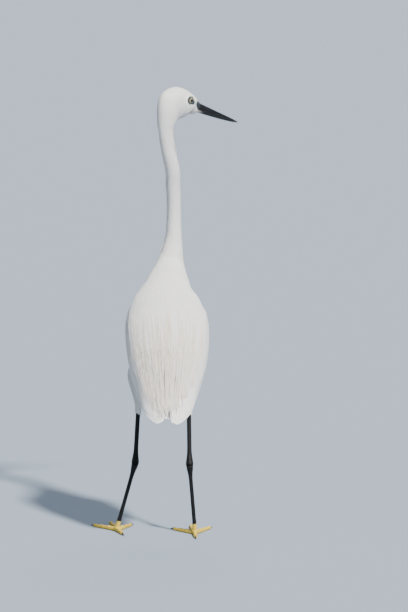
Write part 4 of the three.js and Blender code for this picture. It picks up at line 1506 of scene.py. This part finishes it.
def foot_mesh(side):
    """The toes and the pad, grown into one skin."""
    points, faces = [], []
    for toe in TOES.values():
        tube = toe_tube(side, toe)
        for face in outwards(tube_faces(FOOT["rings"], FOOT["sides"]), tube):
            faces.append(tuple(i + len(points) for i in face))
        points.extend(tube.tolist())
    mesh = bpy.data.meshes.new(f"foot_rough_{side}")
    mesh.from_pydata(points, [], faces)
    build = bmesh.new()
    build.from_mesh(mesh)
    centre = place(*LEGS[side]["foot"]) + SHIFT
    pad = bmesh.ops.create_uvsphere(build, u_segments=24, v_segments=16, radius=FOOT["pad"] * MM)
    for v in pad["verts"]:
        v.co.x, v.co.y = v.co.x + centre[0], v.co.y + centre[1]
        v.co.z = max(v.co.z + FOOT["pad_up"] * MM, 0)
    build.to_mesh(mesh)
    build.free()
    holder = bpy.data.objects.new("foot_rough", mesh)
    bpy.context.scene.collection.objects.link(holder)
    remesh = holder.modifiers.new("grown", "REMESH")
    remesh.mode, remesh.voxel_size, remesh.use_smooth_shade = "VOXEL", FOOT["voxel"] * MM, True
    relax = holder.modifiers.new("relaxed", "SMOOTH")
    relax.factor, relax.iterations = 0.5, 4
    depsgraph = bpy.context.evaluated_depsgraph_get()
    grown = bpy.data.meshes.new_from_object(holder.evaluated_get(depsgraph))
    bpy.data.objects.remove(holder)
    grown.name = f"foot_skin_{side}"
    for v in grown.vertices:
        v.co.z = max(v.co.z, 0)
    return grown


def foot(side, material, claw_material):
    """The skin of the foot, its claws, and scutes along the top of each toe."""
    for toe_name, toe in TOES.items():
        claw(side, toe_name, toe, claw_material)
    grown = foot_mesh(side)
    grown.materials.clear()
    grown.materials.append(material)
    layer = grown.attributes.new("yellow", "FLOAT", "POINT")
    layer.data.foreach_set("value", np.ones(len(grown.vertices), np.float32))
    grown.shade_smooth()
    piece = bpy.data.objects.new(f"foot_skin_{side}", grown)
    bpy.context.scene.collection.objects.link(piece)
    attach(piece, BODY)
    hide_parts(f"foot_{side}")
    tops = [toe_top(side, toe) for toe in TOES.values()]
    spots, lie, wide = (np.concatenate(parts) for parts in zip(*tops))
    facing = np.tile([0.0, 0.0, 1.0], (len(spots), 1))
    size = np.stack([wide * 0.86, 1.55 + 0 * wide, 0.9 + 0 * wide], -1) * MM
    scutes(f"toe_scutes_{side}", material, "foot", spots, facing, lie, size, np.ones(len(spots)))


def claw(side, toe_name, toe, material):
    """A curved claw at the end of a toe, its base inside the toe."""
    start, forward, across = toe_line(side, toe)
    inside = 1.2

    def rim(t, angle):
        r = 1.5 * (1 - t) ** 0.75 + 0.1
        out = toe["length"] - inside + (toe["claw"] + inside) * t
        up = mix(1.95, 0.6, t) + 0.95 * np.sin(np.pi * t) + 1.15 * r * cos(angle)
        spine = start + forward * (out * MM + 0 * angle)[..., None]
        points = spine + across * (0.82 * r * sin(angle) * MM)[..., None]
        points[..., 2] = np.maximum(up, 0.12) * MM
        return points

    piece = tube_piece(f"claw_horn_{side}_{toe_name}", 20, 12, rim, material)
    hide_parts(f"claw_{side}_{toe_name}")


# The stage

ELEVATION = 8.0
CAMERA = {"lens": 400.0, "sensor": 36.0, "frame_height": 612 * 1.4, "left": -53.2, "up": 323.1}
FLOOR = {"reach": 30.0, "color": (0.21, 0.255, 0.31)}
BACKDROP = {"color": (0.66, 0.76, 0.90, 1), "strength": 0.5}
SUNS = {  # azimuth from the camera's side towards the photo's right, elevation, softness, strength, colour
    "key": (30, 46, 5, 10.0, (1.0, 0.965, 0.92)),
    "fill": (-60, 30, 50, 0.25, (0.86, 0.92, 1.0)),
    "front": (170, 45, 40, 1.4, (0.93, 0.96, 1.0)),
}


def camera():
    """At the photo's angle, with its height set in millimetres by the photo's scale."""
    data = bpy.data.cameras.new("camera")
    data.lens, data.sensor_width = CAMERA["lens"], CAMERA["sensor"]
    data.clip_end = 60
    eye = bpy.data.objects.new("camera", data)
    target = place(CAMERA["left"], 0, CAMERA["up"]) + SHIFT
    away = CAMERA["frame_height"] * MM * CAMERA["lens"] / CAMERA["sensor"]
    towards = np.array([0, cos(ELEVATION), sin(ELEVATION)])
    eye.location = Vector(target + towards * away)
    eye.rotation_mode = "QUATERNION"
    eye.rotation_quaternion = Vector(-towards).to_track_quat("-Z", "Y")
    bpy.context.scene.collection.objects.link(eye)
    bpy.context.scene.camera = eye


def sun(name, azimuth, elevation, softness, strength, color):
    """A distant light."""
    data = bpy.data.lights.new(name, "SUN")
    data.angle, data.energy, data.color = math.radians(softness), strength, color
    light = bpy.data.objects.new(name, data)
    towards = np.array([-sin(azimuth) * cos(elevation), cos(azimuth) * cos(elevation), sin(elevation)])
    light.location = Vector(towards * 3)
    light.rotation_mode = "QUATERNION"
    light.rotation_quaternion = Vector(-towards).to_track_quat("-Z", "Y")
    bpy.context.scene.collection.objects.link(light)


def studio():
    """A wide plain floor, the suns, and soft light from all round."""
    made = Finish("floor", FLOOR["color"], 0.9)
    mesh = bpy.data.meshes.new("floor")
    reach = FLOOR["reach"]
    corners = [(-reach, -reach, 0), (reach, -reach, 0), (reach, reach, 0), (-reach, reach, 0)]
    mesh.from_pydata(corners, [], [(0, 1, 2, 3)])
    mesh.materials.append(made.material)
    floor = bpy.data.objects.new("floor", mesh)
    bpy.context.scene.collection.objects.link(floor)
    for name, values in SUNS.items():
        sun(name, *values)
    world = bpy.data.worlds.new("studio")
    world.use_nodes = True
    background = world.node_tree.nodes["Background"]
    background.inputs[0].default_value = BACKDROP["color"]
    background.inputs[1].default_value = BACKDROP["strength"]
    bpy.context.scene.world = world


def make_bird():
    """All pieces of the bird, from the bill to the feet."""
    vane = plumage_finish("white_vane")
    plume = plumage_finish("cream_plume")
    down = down_finish()
    face = face_finish()
    horn = horn_finish()
    leg = leg_finish()
    claws = claw_finish()
    body_skin(face)
    eyes(eye_finish(), face)
    mandible("upper_mandible", 1, 0.55, horn)
    mandible("lower_mandible", -1, 0.45, horn)
    nostrils(horn)
    head_coat(vane)
    neck_coat(vane)
    breast_coat(vane)
    breast_plumes(plume)
    mantle_core(down)
    mantle(vane)
    scapulars(vane)
    wings(vane, down)
    tail(vane)
    aigrettes(plume)
    for side in ("left", "right"):
        thigh(side, down, vane)
        leg_bones(side, leg)
        foot(side, leg, claws)


make_bird()
camera()
studio()
bpy.context.view_layer.update()
